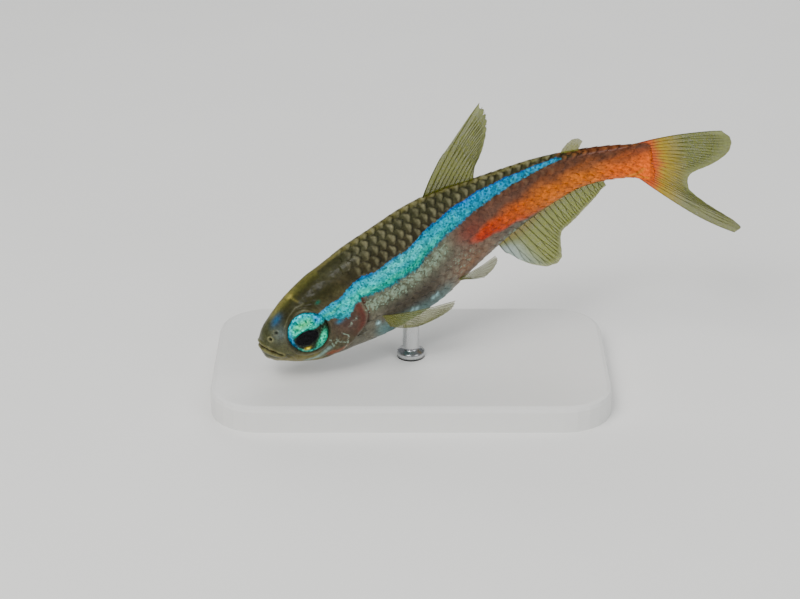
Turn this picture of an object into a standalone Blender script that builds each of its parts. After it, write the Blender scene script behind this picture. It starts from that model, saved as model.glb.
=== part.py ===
"""Neon tetra, a still life-size model held by a small display stand.

Every size below is in millimetres: the model is drawn in them and shrunk to metres at
the end. The fish is drawn in
its own bent frame: a station runs from the snout (0) to the root of the tail fin (1),
a height runs from the spine line towards the back, a width towards the left side.
"""
import math

import bmesh
import bpy
from mathutils import Matrix, Vector

MM = 0.001
SL = 27.0
GAP = 0.3

# station, top, bottom, widest level, half width, as shares of the standard length
SNOUT = 0.0115
PROFILE = (
    (0.0115, 0.005, -0.006, -0.001, 0.010),
    (0.020, 0.0305, -0.032, 0.001, 0.028),
    (0.035, 0.047, -0.044, 0.003, 0.036),
    (0.06, 0.0625, -0.0565, 0.004, 0.0445),
    (0.12, 0.090, -0.0825, 0.006, 0.054),
    (0.20, 0.111, -0.099, 0.008, 0.060),
    (0.30, 0.124, -0.112, 0.010, 0.062),
    (0.42, 0.126, -0.119, 0.010, 0.060),
    (0.52, 0.117, -0.104, 0.010, 0.055),
    (0.62, 0.092, -0.084, 0.008, 0.047),
    (0.74, 0.070, -0.061, 0.005, 0.036),
    (0.86, 0.051, -0.041, 0.004, 0.027),
    (0.95, 0.046, -0.040, 0.002, 0.020),
    (1.00, 0.056, -0.053, 0.001, 0.014),
)
# the head's own direction in degrees, then how the body turns away from it
HEAD_YAW = -20.5
HEAD_PITCH = 23.0
HEAD_ROLL = -6.0
# station, sideways bend, twist, arch
POSE = (
    (0.00, 0.0, 0.0, 0.0),
    (0.22, 0.0, 0.0, 0.0),
    (0.40, -9.0, 3.0, -2.0),
    (0.55, -3.0, 8.0, -2.0),
    (0.70, 5.5, 10.0, -1.5),
    (0.85, 21.0, 8.5, 3.5),
    (1.00, 43.5, 3.0, 10.5),
    (1.30, 72.0, -2.0, 16.0),
)
STEP = 0.01
HEAD_END = 0.285
TRUNK_END = 0.80
CUT = GAP / SL

EYE_STATION = 0.117
EYE_HEIGHT = 0.006
EYE_RADIUS = 1.33
EYE_BULGE = 0.60
EYE_DEPTH = 1.08

GILL_FRONT = 0.192
GILL_TOP = 0.85
GILL_LOW = 2.60
# angle round the head, station of the gill cover's rear edge
GILL_REAR = (
    (0.60, 0.200),
    (0.85, 0.222),
    (1.05, 0.241),
    (1.35, 0.252),
    (1.75, 0.252),
    (1.95, 0.244),
    (2.15, 0.222),
    (2.40, 0.203),
    (2.80, 0.190),
)

LIP_LIFT = 0.17
LIP_RADIUS = 0.13
# station and angle round the head of each side's two nostril openings
NOSTRILS = ((0.038, 0.98), (0.055, 0.93))
NOSTRIL_RADIUS = 0.15

MEMBRANE = 0.50
RAY = 0.70

ROD_STATION = 0.40
ROD_RADIUS = 0.55
BASE_LENGTH = 24.0
BASE_WIDTH = 14.0
BASE_THICK = 1.6
LIFT = 3.6


def smooth(rows, column, x):
    """A monotone curve through one column of a table."""
    xs = [row[0] for row in rows]
    ys = [row[column] for row in rows]
    n = len(xs)
    x = min(max(x, xs[0]), xs[-1])
    h = [xs[i + 1] - xs[i] for i in range(n - 1)]
    d = [(ys[i + 1] - ys[i]) / h[i] for i in range(n - 1)]
    m = [d[0]]
    for i in range(1, n - 1):
        if d[i - 1] * d[i] <= 0:
            m.append(0.0)
        else:
            w1 = 2 * h[i] + h[i - 1]
            w2 = h[i] + 2 * h[i - 1]
            m.append((w1 + w2) / (w1 / d[i - 1] + w2 / d[i]))
    m.append(d[-1])
    i = 0
    while i < n - 2 and x > xs[i + 1]:
        i += 1
    t = (x - xs[i]) / h[i]
    value = (2 * t ** 3 - 3 * t ** 2 + 1) * ys[i] + (t ** 3 - 2 * t ** 2 + t) * h[i] * m[i]
    return value + (3 * t ** 2 - 2 * t ** 3) * ys[i + 1] + (t ** 3 - t ** 2) * h[i] * m[i + 1]


ROOTED = tuple((math.sqrt(row[0] - SNOUT),) + row[1:] for row in PROFILE)


def section(s):
    """Top, bottom, widest level and half width of the body at a station, in mm."""
    t = math.sqrt(max(s - SNOUT, 0.0))
    return tuple(smooth(ROOTED, k, t) * SL for k in (1, 2, 3, 4))


def build_frames():
    """Spine point, tailward, back and left directions, one row each step."""
    yaw, pitch, roll = (math.radians(q) for q in (HEAD_YAW, HEAD_PITCH, HEAD_ROLL))
    cp, sp = math.cos(pitch), math.sin(pitch)
    cy, sy = math.cos(yaw), math.sin(yaw)
    a = Vector((cp * cy, -cp * sy, sp))
    d = Vector((-sp * cy, sp * sy, cp))
    left = a.cross(d)
    if left.y > 0:
        left = -left
    d, left = (math.cos(roll) * d + math.sin(roll) * left,
               math.cos(roll) * left - math.sin(roll) * d)
    c = Vector((0, 0, 0))
    rows = [(c.copy(), a.copy(), d.copy(), left.copy())]
    last = [0.0, 0.0, 0.0]
    for i in range(1, 141):
        now = [math.radians(smooth(POSE, k, i * STEP)) for k in (1, 2, 3)]
        b, t, g = (now[k] - last[k] for k in range(3))
        last = now
        old = a.copy()
        a, left = (a * math.cos(b) + left * math.sin(b), left * math.cos(b) - a * math.sin(b))
        a, d = (a * math.cos(g) - d * math.sin(g), d * math.cos(g) + a * math.sin(g))
        d, left = (d * math.cos(t) + left * math.sin(t), left * math.cos(t) - d * math.sin(t))
        c = c + (a + old) * (0.5 * STEP * SL)
        rows.append((c.copy(), a.copy(), d.copy(), left.copy()))
    return rows


FRAMES = build_frames()


def frame(s):
    """Spine point, tailward, back and left directions at a station."""
    q = max(s, 0.0) / STEP
    i = min(int(q), len(FRAMES) - 2)
    c, a, d, left = (FRAMES[i][k].lerp(FRAMES[i + 1][k], q - i) for k in range(4))
    if s < 0:
        c = c + a * (s * SL)
    a.normalize()
    left = (left - a * left.dot(a)).normalized()
    d = (d - a * d.dot(a) - left * d.dot(left)).normalized()
    return c, a, d, left


ROD_FOOT = frame(ROD_STATION)[0]
SHIFT = Vector((-ROD_FOOT.x, -ROD_FOOT.y, LIFT))


def place(s, height, width):
    """A point from a station, a height and a width, both in mm."""
    c, a, d, left = frame(s)
    return c + d * height + left * width + SHIFT


def sheet(s, height, width=0.0):
    """The same with height and width as shares of the standard length."""
    return place(s, height * SL, width * SL)


def skin(s, phi, grow=0.0):
    """A point of the skin: phi 0 is the back, pi the belly, positive on the left."""
    top, bottom, level, half = section(s)
    z = math.cos(phi)
    rise = (top - level + grow) if z > 0 else (level - bottom + grow)
    return place(s, level + rise * z, (half + grow) * math.sin(phi))


def material(name, color, roughness, alpha=1.0):
    mat = bpy.data.materials.new(name)
    mat.use_nodes = True
    shader = mat.node_tree.nodes["Principled BSDF"]
    shader.inputs["Base Color"].default_value = (*color, 1.0)
    shader.inputs["Roughness"].default_value = roughness
    shader.inputs["Metallic"].default_value = 0.0
    shader.inputs["Alpha"].default_value = alpha
    return mat


def make_object(name, bm, mat=None):
    bm.normal_update()
    bmesh.ops.recalc_face_normals(bm, faces=bm.faces)
    if bm.calc_volume(signed=True) < 0:
        bmesh.ops.reverse_faces(bm, faces=bm.faces)
    mesh = bpy.data.meshes.new(name)
    bm.to_mesh(mesh)
    bm.free()
    obj = bpy.data.objects.new(name, mesh)
    bpy.context.scene.collection.objects.link(obj)
    if mat is not None:
        mesh.materials.append(mat)
    return obj


def cutter(obj):
    obj.hide_render = True
    obj.display_type = "WIRE"
    return obj


def boolean(obj, other, operation):
    mod = obj.modifiers.new(operation.lower(), "BOOLEAN")
    mod.operation = operation
    mod.solver = "EXACT"
    mod.object = other


def settle(obj, helpers=()):
    """Apply the modifiers, keep the largest closed surface and drop the helpers."""
    bpy.context.view_layer.update()
    graph = bpy.context.evaluated_depsgraph_get()
    bm = bmesh.new()
    bm.from_mesh(obj.evaluated_get(graph).to_mesh())
    bmesh.ops.remove_doubles(bm, verts=bm.verts, dist=1e-4)
    bmesh.ops.dissolve_degenerate(bm, dist=1e-4, edges=bm.edges)
    bm.verts.ensure_lookup_table()
    seen = set()
    groups = []
    for first in bm.verts:
        if first in seen:
            continue
        seen.add(first)
        stack = [first]
        group = []
        while stack:
            vert = stack.pop()
            group.append(vert)
            for edge in vert.link_edges:
                other = edge.other_vert(vert)
                if other not in seen:
                    seen.add(other)
                    stack.append(other)
        groups.append(group)
    groups.sort(key=len, reverse=True)
    for group in groups[1:]:
        bmesh.ops.delete(bm, geom=group, context="VERTS")
    obj.modifiers.clear()
    bm.to_mesh(obj.data)
    bm.free()
    for helper in helpers:
        bpy.data.objects.remove(helper, do_unlink=True)
    return obj


def grid_shell(rows_out, rows_in, closed=False):
    """A closed slab between two grids of points of the same size."""
    bm = bmesh.new()
    out = [[bm.verts.new(p) for p in row] for row in rows_out]
    inn = [[bm.verts.new(p) for p in row] for row in rows_in]
    n, m = len(out), len(out[0])
    for i in range(n - 1):
        for j in range(m - 1):
            bm.faces.new((out[i][j], out[i][j + 1], out[i + 1][j + 1], out[i + 1][j]))
            bm.faces.new((inn[i][j], inn[i + 1][j], inn[i + 1][j + 1], inn[i][j + 1]))
    for i in range(n - 1):
        for j in (0, m - 1):
            bm.faces.new((out[i][j], out[i + 1][j], inn[i + 1][j], inn[i][j]))
    for j in range(m - 1):
        for i in (0, n - 1):
            bm.faces.new((out[i][j], out[i][j + 1], inn[i][j + 1], inn[i][j]))
    return bm


def loft(stations, around, grow=0.0):
    """The body between stations as one closed mesh."""
    bm = bmesh.new()
    rings = []
    for s in stations:
        ring = [bm.verts.new(skin(s, 2 * math.pi * k / around, grow)) for k in range(around)]
        rings.append(ring)
    for low, high in zip(rings, rings[1:]):
        for k in range(around):
            n = (k + 1) % around
            bm.faces.new((low[k], low[n], high[n], high[k]))
    bm.faces.new(rings[0])
    bm.faces.new(rings[-1])
    return bm


def spread(first, last, count, rooted=False):
    """Evenly spaced stations, closer together towards the snout when rooted."""
    if rooted:
        lo, hi = math.sqrt(first - SNOUT), math.sqrt(last - SNOUT)
        return [SNOUT + (lo + (hi - lo) * i / (count - 1)) ** 2 for i in range(count)]
    return [first + (last - first) * i / (count - 1) for i in range(count)]


def ellipsoid(name, centre, axes, radii, segments=24, rings=14):
    """A stretched sphere with its third radius along the third axis."""
    bm = bmesh.new()
    bmesh.ops.create_uvsphere(bm, u_segments=segments, v_segments=rings, radius=1.0)
    for vert in bm.verts:
        p = vert.co
        vert.co = (centre + axes[0] * (p.x * radii[0]) + axes[1] * (p.y * radii[1])
                   + axes[2] * (p.z * radii[2]))
    return make_object(name, bm)


def tube(name, points, radius):
    curve = bpy.data.curves.new(name, "CURVE")
    curve.dimensions = "3D"
    curve.bevel_depth = radius
    curve.bevel_resolution = 2
    curve.use_fill_caps = True
    line = curve.splines.new("POLY")
    line.points.add(len(points) - 1)
    for target, p in zip(line.points, points):
        target.co = (*p, 1.0)
    obj = bpy.data.objects.new(name, curve)
    bpy.context.scene.collection.objects.link(obj)
    graph = bpy.context.evaluated_depsgraph_get()
    bpy.context.view_layer.update()
    mesh = bpy.data.meshes.new_from_object(obj.evaluated_get(graph))
    bpy.data.objects.remove(obj, do_unlink=True)
    solid = bpy.data.objects.new(name, mesh)
    bpy.context.scene.collection.objects.link(solid)
    return solid


def eye_axes(side):
    """The eye's own directions: along the head, up, and out of the head."""
    c, a, d, left = frame(EYE_STATION)
    out = (left * side - a * 0.12 + d * 0.10).normalized()
    along = (a - out * a.dot(out)).normalized()
    return along, out.cross(along), out


def eye_centre(side):
    return place(EYE_STATION, EYE_HEIGHT * SL, side * EYE_DEPTH)


def build_eye(side, name, mat):
    radii = (EYE_RADIUS, EYE_RADIUS, EYE_BULGE)
    obj = ellipsoid(name, eye_centre(side), eye_axes(side), radii)
    obj.data.materials.append(mat)
    return obj


def gill_grid(side, grow, margin, rows, columns):
    """A patch of the cheek under or over the gill cover, widened by a margin."""
    turn = margin / 2.4
    grid = []
    for i in range(rows):
        phi = GILL_TOP - turn + (GILL_LOW - GILL_TOP + 2 * turn) * i / (rows - 1)
        rear = smooth(GILL_REAR, 1, phi) + margin / SL
        front = GILL_FRONT - margin / SL
        line = []
        for j in range(columns):
            s = front + (rear - front) * j / (columns - 1)
            line.append(skin(s, side * phi, grow))
        grid.append(line)
    return grid


def build_gill_cover(side, name, mat):
    """A flap that stands a little proud of the cheek at its rear edge."""
    outer = gill_grid(side, 0.06, 0.0, 12, 8)
    inner = gill_grid(side, -0.44, 0.0, 12, 8)
    obj = make_object(name, grid_shell(outer, inner))
    obj.data.materials.append(mat)
    return obj


def mouth_line(q, lift=0.0):
    """Station and height (mm) of the line of the mouth from its front to its corner."""
    return SNOUT + 0.003 + 0.030 * q, (0.0185 - 0.035 * q) * SL + lift


def jaw_points(lift, count=8):
    """Points on the skin along the mouth, from the right corner round to the left."""
    left = []
    for i in range(count):
        q = 0.98 - 0.93 * i / (count - 1)
        s, height = mouth_line(q, lift)
        top, bottom, level, half = section(s)
        rise = (top - level) if height > level else (level - bottom)
        z = max(-0.9, min(0.9, (height - level) / rise))
        left.append((s, height, half * math.sqrt(1 - z * z)))
    height = mouth_line(0.0, lift)[1]
    front = place(SNOUT + 0.001, height, 0.0)
    side = [place(*row) for row in left]
    other = [place(s, h, -w) for s, h, w in left]
    return other + [front] + side[::-1]


def mouth_wedge():
    """A thin wedge that parts the two jaws, widest at the front."""
    upper, lower = [], []
    for width in (-2.2, 0.0, 2.2):
        over, under = [], []
        for i in range(9):
            q = -0.3 + 1.3 * i / 8
            s, height = mouth_line(q)
            half = 0.13 - 0.06 * q
            over.append(place(s, height + half, width))
            under.append(place(s, height - half, width))
        upper.append(over)
        lower.append(under)
    return make_object("mouth_gap", grid_shell(upper, lower))


def build_head(name, mat):
    head = make_object(name, loft(spread(SNOUT, HEAD_END, 21, True), 36))
    head.data.materials.append(mat)
    lips = [tube("upper_lip", jaw_points(LIP_LIFT), LIP_RADIUS),
            tube("lower_lip", jaw_points(-LIP_LIFT), LIP_RADIUS)]
    for lip in lips:
        boolean(head, cutter(lip), "UNION")
    settle(head, lips)
    helpers = [mouth_wedge()]
    for side in (-1, 1):
        radii = (EYE_RADIUS + GAP, EYE_RADIUS + GAP, EYE_BULGE + GAP)
        helpers.append(ellipsoid("socket", eye_centre(side), eye_axes(side), radii, 28, 16))
        outer = gill_grid(side, 0.9, GAP, 12, 8)
        inner = gill_grid(side, -0.44 - GAP, GAP, 12, 8)
        helpers.append(make_object("gill_recess", grid_shell(outer, inner)))
        for s, phi in NOSTRILS:
            c, a, d, left = frame(s)
            size = (NOSTRIL_RADIUS, NOSTRIL_RADIUS, NOSTRIL_RADIUS)
            centre = skin(s, side * phi)
            helpers.append(ellipsoid("nostril", centre, (a, -left, d), size, 12, 8))
    for helper in helpers:
        boolean(head, cutter(helper), "DIFFERENCE")
    return settle(head, helpers)


def build_fin(name, mat, rays, between, rows, bow, tip_thin):
    """A fin as one sheet: columns run along the rays, the ridges are thicker there."""
    columns = []
    weights = []
    last = len(rays) - 1
    for i in range(last * (between + 1) + 1):
        k = min(i // (between + 1), last - 1)
        f = i / (between + 1) - k
        root = [rays[k][0][n] * (1 - f) + rays[k + 1][0][n] * f for n in range(3)]
        tip = [rays[k][1][n] * (1 - f) + rays[k + 1][1][n] * f for n in range(3)]
        on_ray = (i % (between + 1)) == 0
        curve = bow(i / (between + 1) / last)
        if not on_ray:
            tip = [tip[n] * 0.985 + root[n] * 0.015 for n in range(3)]
        line = []
        fade = []
        for r in range(rows):
            t = r / (rows - 1)
            s = root[0] * (1 - t) + tip[0] * t
            h = root[1] * (1 - t) + tip[1] * t + curve[0] * t * (1 - t)
            w = root[2] * (1 - t) + tip[2] * t + curve[1] * t * (1 - t)
            line.append(sheet(s, h, w))
            taper = 1.0 - tip_thin * max(0.0, (t - 0.7) / 0.3)
            fade.append((1.0 if on_ray else MEMBRANE / RAY) * taper)
        columns.append(line)
        weights.append(fade)
    bm = bmesh.new()
    layer = bm.verts.layers.deform.verify()
    verts = []
    for line, fade in zip(columns, weights):
        column = []
        for p, value in zip(line, fade):
            vert = bm.verts.new(p)
            vert[layer][0] = value
            column.append(vert)
        verts.append(column)
    for i in range(len(verts) - 1):
        for r in range(rows - 1):
            a, b = verts[i][r], verts[i + 1][r]
            c, d = verts[i + 1][r + 1], verts[i][r + 1]
            bm.faces.new((a, b, c))
            bm.faces.new((a, c, d))
    obj = make_object(name, bm, mat)
    obj.vertex_groups.new(name="thickness")
    mod = obj.modifiers.new("thickness", "SOLIDIFY")
    mod.thickness = RAY
    mod.offset = 0.0
    mod.use_even_offset = False
    mod.vertex_group = "thickness"
    mod.thickness_vertex_group = 0.0
    return settle(obj)


def back_height(s):
    return (section(s)[0] + GAP) / SL


def belly_height(s):
    return (section(s)[1] - GAP) / SL


def dorsal_rays():
    tips = ((0.575, 0.192), (0.689, 0.262), (0.694, 0.243), (0.693, 0.228), (0.690, 0.213),
            (0.683, 0.196), (0.675, 0.180), (0.665, 0.165), (0.655, 0.151), (0.643, 0.138),
            (0.630, 0.127))
    rays = []
    for i, tip in enumerate(tips):
        s = 0.485 + 0.0122 * i
        rays.append(((s, back_height(s), 0.0), (*tip, 0.0)))
    return rays


def anal_rays():
    tips = ((0.617, -0.125), (0.633, -0.155), (0.656, -0.186), (0.690, -0.214), (0.713, -0.219),
            (0.730, -0.208), (0.737, -0.188), (0.742, -0.168), (0.748, -0.151), (0.758, -0.140),
            (0.770, -0.134), (0.782, -0.129), (0.795, -0.123), (0.807, -0.116), (0.820, -0.108),
            (0.833, -0.099), (0.846, -0.090), (0.858, -0.081), (0.868, -0.072), (0.878, -0.063),
            (0.889, -0.056))
    rays = []
    for i, tip in enumerate(tips):
        s = 0.603 + 0.0140 * i
        rays.append(((s, belly_height(s), 0.0), (*tip, 0.0)))
    return rays


def adipose_rays():
    tips = ((0.826, 0.072), (0.839, 0.081), (0.851, 0.084), (0.860, 0.080), (0.865, 0.070))
    rays = []
    for i, tip in enumerate(tips):
        s = 0.818 + 0.0075 * i
        rays.append(((s, back_height(s), 0.0), (*tip, 0.0)))
    return rays


def caudal_rays():
    tips = ((1.172, 0.107), (1.192, 0.097), (1.196, 0.083), (1.192, 0.067), (1.180, 0.049),
            (1.164, 0.033), (1.147, 0.019), (1.129, 0.007), (1.110, -0.005), (1.093, -0.020),
            (1.088, -0.034), (1.090, -0.050), (1.105, -0.065), (1.128, -0.078), (1.155, -0.088),
            (1.182, -0.096), (1.210, -0.102), (1.228, -0.114), (1.212, -0.131))
    rays = []
    for i, tip in enumerate(tips):
        rays.append(((1.0 + CUT, 0.050 - 0.0054 * i, 0.0), (*tip, 0.0)))
    return rays


def pectoral_rays(side):
    tips = ((0.425, -0.098, 0.084), (0.421, -0.107, 0.082), (0.411, -0.112, 0.080),
            (0.397, -0.114, 0.078), (0.381, -0.114, 0.076), (0.363, -0.112, 0.074),
            (0.346, -0.110, 0.071), (0.331, -0.107, 0.068))
    rays = []
    for i, tip in enumerate(tips):
        s = 0.266 + 0.0022 * i
        phi = 2.04 + 0.070 * i
        top, bottom, level, half = section(s)
        reach = GAP + 0.05
        height = level + (level - bottom + reach) * math.cos(phi)
        width = (half + reach) * math.sin(phi)
        rays.append(((s, height / SL, side * width / SL), (tip[0], tip[1], side * tip[2])))
    return rays


def pelvic_rays(side):
    tips = ((0.574, -0.086, 0.056), (0.577, -0.094, 0.053), (0.571, -0.102, 0.050),
            (0.560, -0.108, 0.047), (0.546, -0.112, 0.043), (0.531, -0.114, 0.039))
    rays = []
    for i, tip in enumerate(tips):
        s = 0.460 + 0.0045 * i
        phi = 2.52 + 0.085 * i
        top, bottom, level, half = section(s)
        reach = GAP + 0.05
        height = level + (level - bottom + reach) * math.cos(phi)
        width = (half + reach) * math.sin(phi)
        rays.append(((s, height / SL, side * width / SL), (tip[0], tip[1], side * tip[2])))
    return rays


def build_stand(base_mat, rod_mat):
    bm = bmesh.new()
    bmesh.ops.create_cube(bm, size=1.0)
    for vert in bm.verts:
        vert.co.x *= BASE_LENGTH
        vert.co.y *= BASE_WIDTH
        vert.co.z = (vert.co.z + 0.5) * BASE_THICK
    corners = [e for e in bm.edges if abs(e.verts[0].co.z - e.verts[1].co.z) > 0.5]
    bmesh.ops.bevel(bm, geom=corners, offset=3.0, segments=6, profile=0.5, affect="EDGES")
    rim = [e for e in bm.edges if min(v.co.z for v in e.verts) > (BASE_THICK - 0.01)]
    rim = [e for e in rim if len(e.link_faces) == 2]
    bmesh.ops.bevel(bm, geom=rim, offset=0.3, segments=2, profile=0.5, affect="EDGES")
    base = make_object("stand_base", bm, base_mat)
    hole = bmesh.new()
    bmesh.ops.create_cone(hole, cap_ends=True, segments=24, radius1=(ROD_RADIUS + GAP),
                          radius2=(ROD_RADIUS + GAP), depth=1.6)
    bmesh.ops.translate(hole, verts=hole.verts, vec=(0, 0, (BASE_THICK + 0.2)))
    hole = cutter(make_object("rod_hole", hole))
    boolean(base, hole, "DIFFERENCE")
    settle(base, [hole])
    foot = BASE_THICK - 0.6 + GAP
    head = ROD_FOOT.z + LIFT
    rod = bmesh.new()
    bmesh.ops.create_cone(rod, cap_ends=True, segments=24, radius1=ROD_RADIUS,
                          radius2=ROD_RADIUS, depth=(head - foot))
    bmesh.ops.translate(rod, verts=rod.verts, vec=(0, 0, 0.5 * (head + foot)))
    rod = make_object("stand_rod", rod, rod_mat)
    belly = cutter(make_object("belly", loft(spread(0.30, 0.50, 9), 48, GAP)))
    boolean(rod, belly, "DIFFERENCE")
    settle(rod, [belly])


def main():
    for obj in list(bpy.data.objects):
        bpy.data.objects.remove(obj, do_unlink=True)
    flesh = material("head_skin", (0.30, 0.24, 0.16), 0.35)
    cover = material("gill_cover_skin", (0.45, 0.22, 0.16), 0.30)
    side = material("trunk_skin", (0.22, 0.40, 0.46), 0.30)
    tail = material("tail_skin", (0.62, 0.20, 0.06), 0.35)
    iris = material("eye", (0.05, 0.12, 0.12), 0.10)
    fin = material("fin", (0.62, 0.58, 0.42), 0.40, 0.6)
    red = material("anal_fin", (0.66, 0.52, 0.40), 0.40, 0.6)
    plinth = material("stand_base", (0.86, 0.86, 0.84), 0.45)
    steel = material("stand_rod", (0.70, 0.71, 0.72), 0.30)

    build_head("head", flesh)
    trunk = make_object("trunk", loft(spread(HEAD_END + CUT, TRUNK_END, 20), 32), side)
    stem = make_object("tail_stem", loft(spread(TRUNK_END + CUT, 1.0, 12), 32), tail)
    for word, sign in (("left", 1), ("right", -1)):
        build_eye(sign, "eye_" + word, iris)
        build_gill_cover(sign, "gill_cover_" + word, cover)
        build_fin("pectoral_fin_" + word, fin, pectoral_rays(sign), 1, 7,
                  lambda q: (-0.01, 0.02 * sign), 0.5)
        build_fin("pelvic_fin_" + word, fin, pelvic_rays(sign), 1, 6,
                  lambda q: (-0.01, 0.01 * sign), 0.5)
    build_fin("dorsal_fin", fin, dorsal_rays(), 2, 8, lambda q: (0.02, 0.0), 0.5)
    build_fin("adipose_fin", fin, adipose_rays(), 1, 5, lambda q: (0.005, 0.0), 0.3)
    build_fin("anal_fin", red, anal_rays(), 2, 6, lambda q: (-0.05 * (1 - q), 0.0), 0.5)
    build_fin("caudal_fin", fin, caudal_rays(), 2, 8,
              lambda q: (0.03 * max(0, 1 - 2 * q) - 0.10 * max(0, 2 * q - 1) ** 2, 0.0), 0.5)
    build_stand(plinth, steel)
    for obj in bpy.data.objects:
        obj.data.transform(Matrix.Scale(MM, 4))


main()
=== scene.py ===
"""A neon tetra on its display stand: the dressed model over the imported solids.

The fish is drawn in its own bent frame, as in the solids: a station runs from the
snout (0) to the root of the tail fin (1), a height runs from the spine line towards
the back and a width towards the left side. Sizes are in millimetres until a mesh is made.
"""
import math

import bpy
import numpy as np
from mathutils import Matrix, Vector, noise


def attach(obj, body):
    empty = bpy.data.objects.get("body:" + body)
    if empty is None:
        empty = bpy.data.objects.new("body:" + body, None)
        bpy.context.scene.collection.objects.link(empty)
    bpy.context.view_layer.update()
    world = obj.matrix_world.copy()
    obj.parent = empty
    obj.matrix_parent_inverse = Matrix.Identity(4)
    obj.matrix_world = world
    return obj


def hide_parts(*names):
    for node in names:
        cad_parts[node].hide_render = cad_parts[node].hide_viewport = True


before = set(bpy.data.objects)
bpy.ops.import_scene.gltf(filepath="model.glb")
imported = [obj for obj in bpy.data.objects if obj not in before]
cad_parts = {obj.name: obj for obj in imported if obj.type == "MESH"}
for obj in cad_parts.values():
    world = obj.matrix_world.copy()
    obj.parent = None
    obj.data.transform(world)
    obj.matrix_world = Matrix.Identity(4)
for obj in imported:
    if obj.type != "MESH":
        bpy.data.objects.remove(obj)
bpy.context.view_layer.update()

MM = 0.001
SL = 27.0
SNOUT = 0.0115
# station, top, bottom, widest level, half width, as shares of the standard length
PROFILE = (
    (0.0115, 0.005, -0.006, -0.001, 0.01), (0.02, 0.0305, -0.032, 0.001, 0.028),
    (0.035, 0.047, -0.044, 0.003, 0.036), (0.06, 0.0625, -0.0565, 0.004, 0.0445),
    (0.12, 0.09, -0.0825, 0.006, 0.054), (0.2, 0.111, -0.099, 0.008, 0.06),
    (0.3, 0.124, -0.112, 0.01, 0.062), (0.42, 0.126, -0.119, 0.01, 0.06),
    (0.52, 0.117, -0.104, 0.01, 0.055), (0.62, 0.092, -0.084, 0.008, 0.047),
    (0.74, 0.07, -0.061, 0.005, 0.036), (0.86, 0.051, -0.041, 0.004, 0.027),
    (0.95, 0.046, -0.04, 0.002, 0.02), (1.0, 0.056, -0.053, 0.001, 0.014),
)
HEAD_YAW = -20.5
HEAD_PITCH = 23.0
HEAD_ROLL = -6.0
# station, sideways bend, twist, arch, in degrees from the head's own direction
POSE = (
    (0.0, 0.0, 0.0, 0.0), (0.22, 0.0, 0.0, 0.0), (0.4, -9.0, 3.0, -2.0), (0.55, -3.0, 8.0, -2.0),
    (0.7, 5.5, 10.0, -1.5), (0.85, 21.0, 8.5, 3.5), (1.0, 43.5, 3.0, 10.5), (1.3, 72.0, -2.0, 16.0),
)
STEP = 0.01
STEPS = 140
ROD_STATION = 0.4
LIFT = 3.6
EYE_STATION = 0.117
EYE_HEIGHT = 0.006
EYE_RADIUS = 1.33
EYE_DEPTH = 1.08

# the blue stripe: station, lower and upper edge as a height from belly (-1) to back (1)
STRIPE = (
    (0.14, 0.16, 0.32), (0.155, 0.12, 0.33), (0.168, 0.08, 0.34), (0.18, 0.06, 0.35),
    (0.19, -0.03, 0.35), (0.203, -0.09, 0.35), (0.215, -0.09, 0.37), (0.226, 0.01, 0.41),
    (0.237, 0.09, 0.44), (0.25, 0.09, 0.46), (0.27, 0.05, 0.47), (0.3, 0.03, 0.44),
    (0.37, 0.0, 0.45), (0.4, 0.04, 0.47), (0.43, 0.14, 0.52), (0.46, 0.21, 0.59),
    (0.5, 0.28, 0.65), (0.56, 0.39, 0.75), (0.62, 0.54, 0.85), (0.69, 0.65, 0.89),
    (0.76, 0.76, 0.92), (0.8, 0.86, 0.97), (1.04, 0.97, 1.0),
)
# the orange band: station, lower and upper edge
ORANGE = (
    (0.5, -0.3, 0.0), (0.56, -0.35, 0.03), (0.6, -0.42, 0.08), (0.65, -0.54, 0.18),
    (0.7, -0.72, 0.3), (0.76, -1.05, 0.42), (0.86, -1.3, 0.52), (0.92, -1.4, 0.58),
    (0.97, -1.4, 0.66), (1.04, -1.4, 0.76),
)
# angle round the head, station of the gill cover's rear edge
GILL_REAR = (
    (0.0, 0.15), (0.6, 0.196), (0.85, 0.224), (1.05, 0.242), (1.35, 0.252), (1.75, 0.253),
    (1.95, 0.245), (2.15, 0.22), (2.4, 0.19), (2.8, 0.14), (3.15, 0.11),
)


def smooth(rows, column, x):
    """A monotone curve through one column of a table."""
    xs = [row[0] for row in rows]
    ys = [row[column] for row in rows]
    n = len(xs)
    x = min(max(x, xs[0]), xs[-1])
    h = [xs[i + 1] - xs[i] for i in range(n - 1)]
    d = [(ys[i + 1] - ys[i]) / h[i] for i in range(n - 1)]
    m = [d[0]]
    for i in range(1, n - 1):
        if d[i - 1] * d[i] <= 0:
            m.append(0.0)
        else:
            w1 = 2 * h[i] + h[i - 1]
            w2 = h[i] + 2 * h[i - 1]
            m.append((w1 + w2) / (w1 / d[i - 1] + w2 / d[i]))
    m.append(d[-1])
    i = 0
    while i < n - 2 and x > xs[i + 1]:
        i += 1
    t = (x - xs[i]) / h[i]
    value = (2 * t ** 3 - 3 * t ** 2 + 1) * ys[i] + (t ** 3 - 2 * t ** 2 + t) * h[i] * m[i]
    return value + (3 * t ** 2 - 2 * t ** 3) * ys[i + 1] + (t ** 3 - t ** 2) * h[i] * m[i + 1]


TABLES = {}


def curve(rows, column, x):
    """The same for an array of places, through a fine table that is made once."""
    if (rows, column) not in TABLES:
        xs = np.linspace(rows[0][0], rows[-1][0], 600)
        TABLES[rows, column] = xs, np.array([smooth(rows, column, v) for v in xs])
    return np.interp(x, *TABLES[rows, column])


def ease(x, low, high):
    """A smooth step from 0 at low to 1 at high."""
    t = np.clip((x - low) / (high - low), 0.0, 1.0)
    return t * t * (3 - 2 * t)


def fall(x, low, high):
    """A smooth step from 1 at low to 0 at high."""
    return 1 - ease(x, low, high)


def ridge(distance, width):
    return np.exp(-(distance / width) ** 2)


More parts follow.
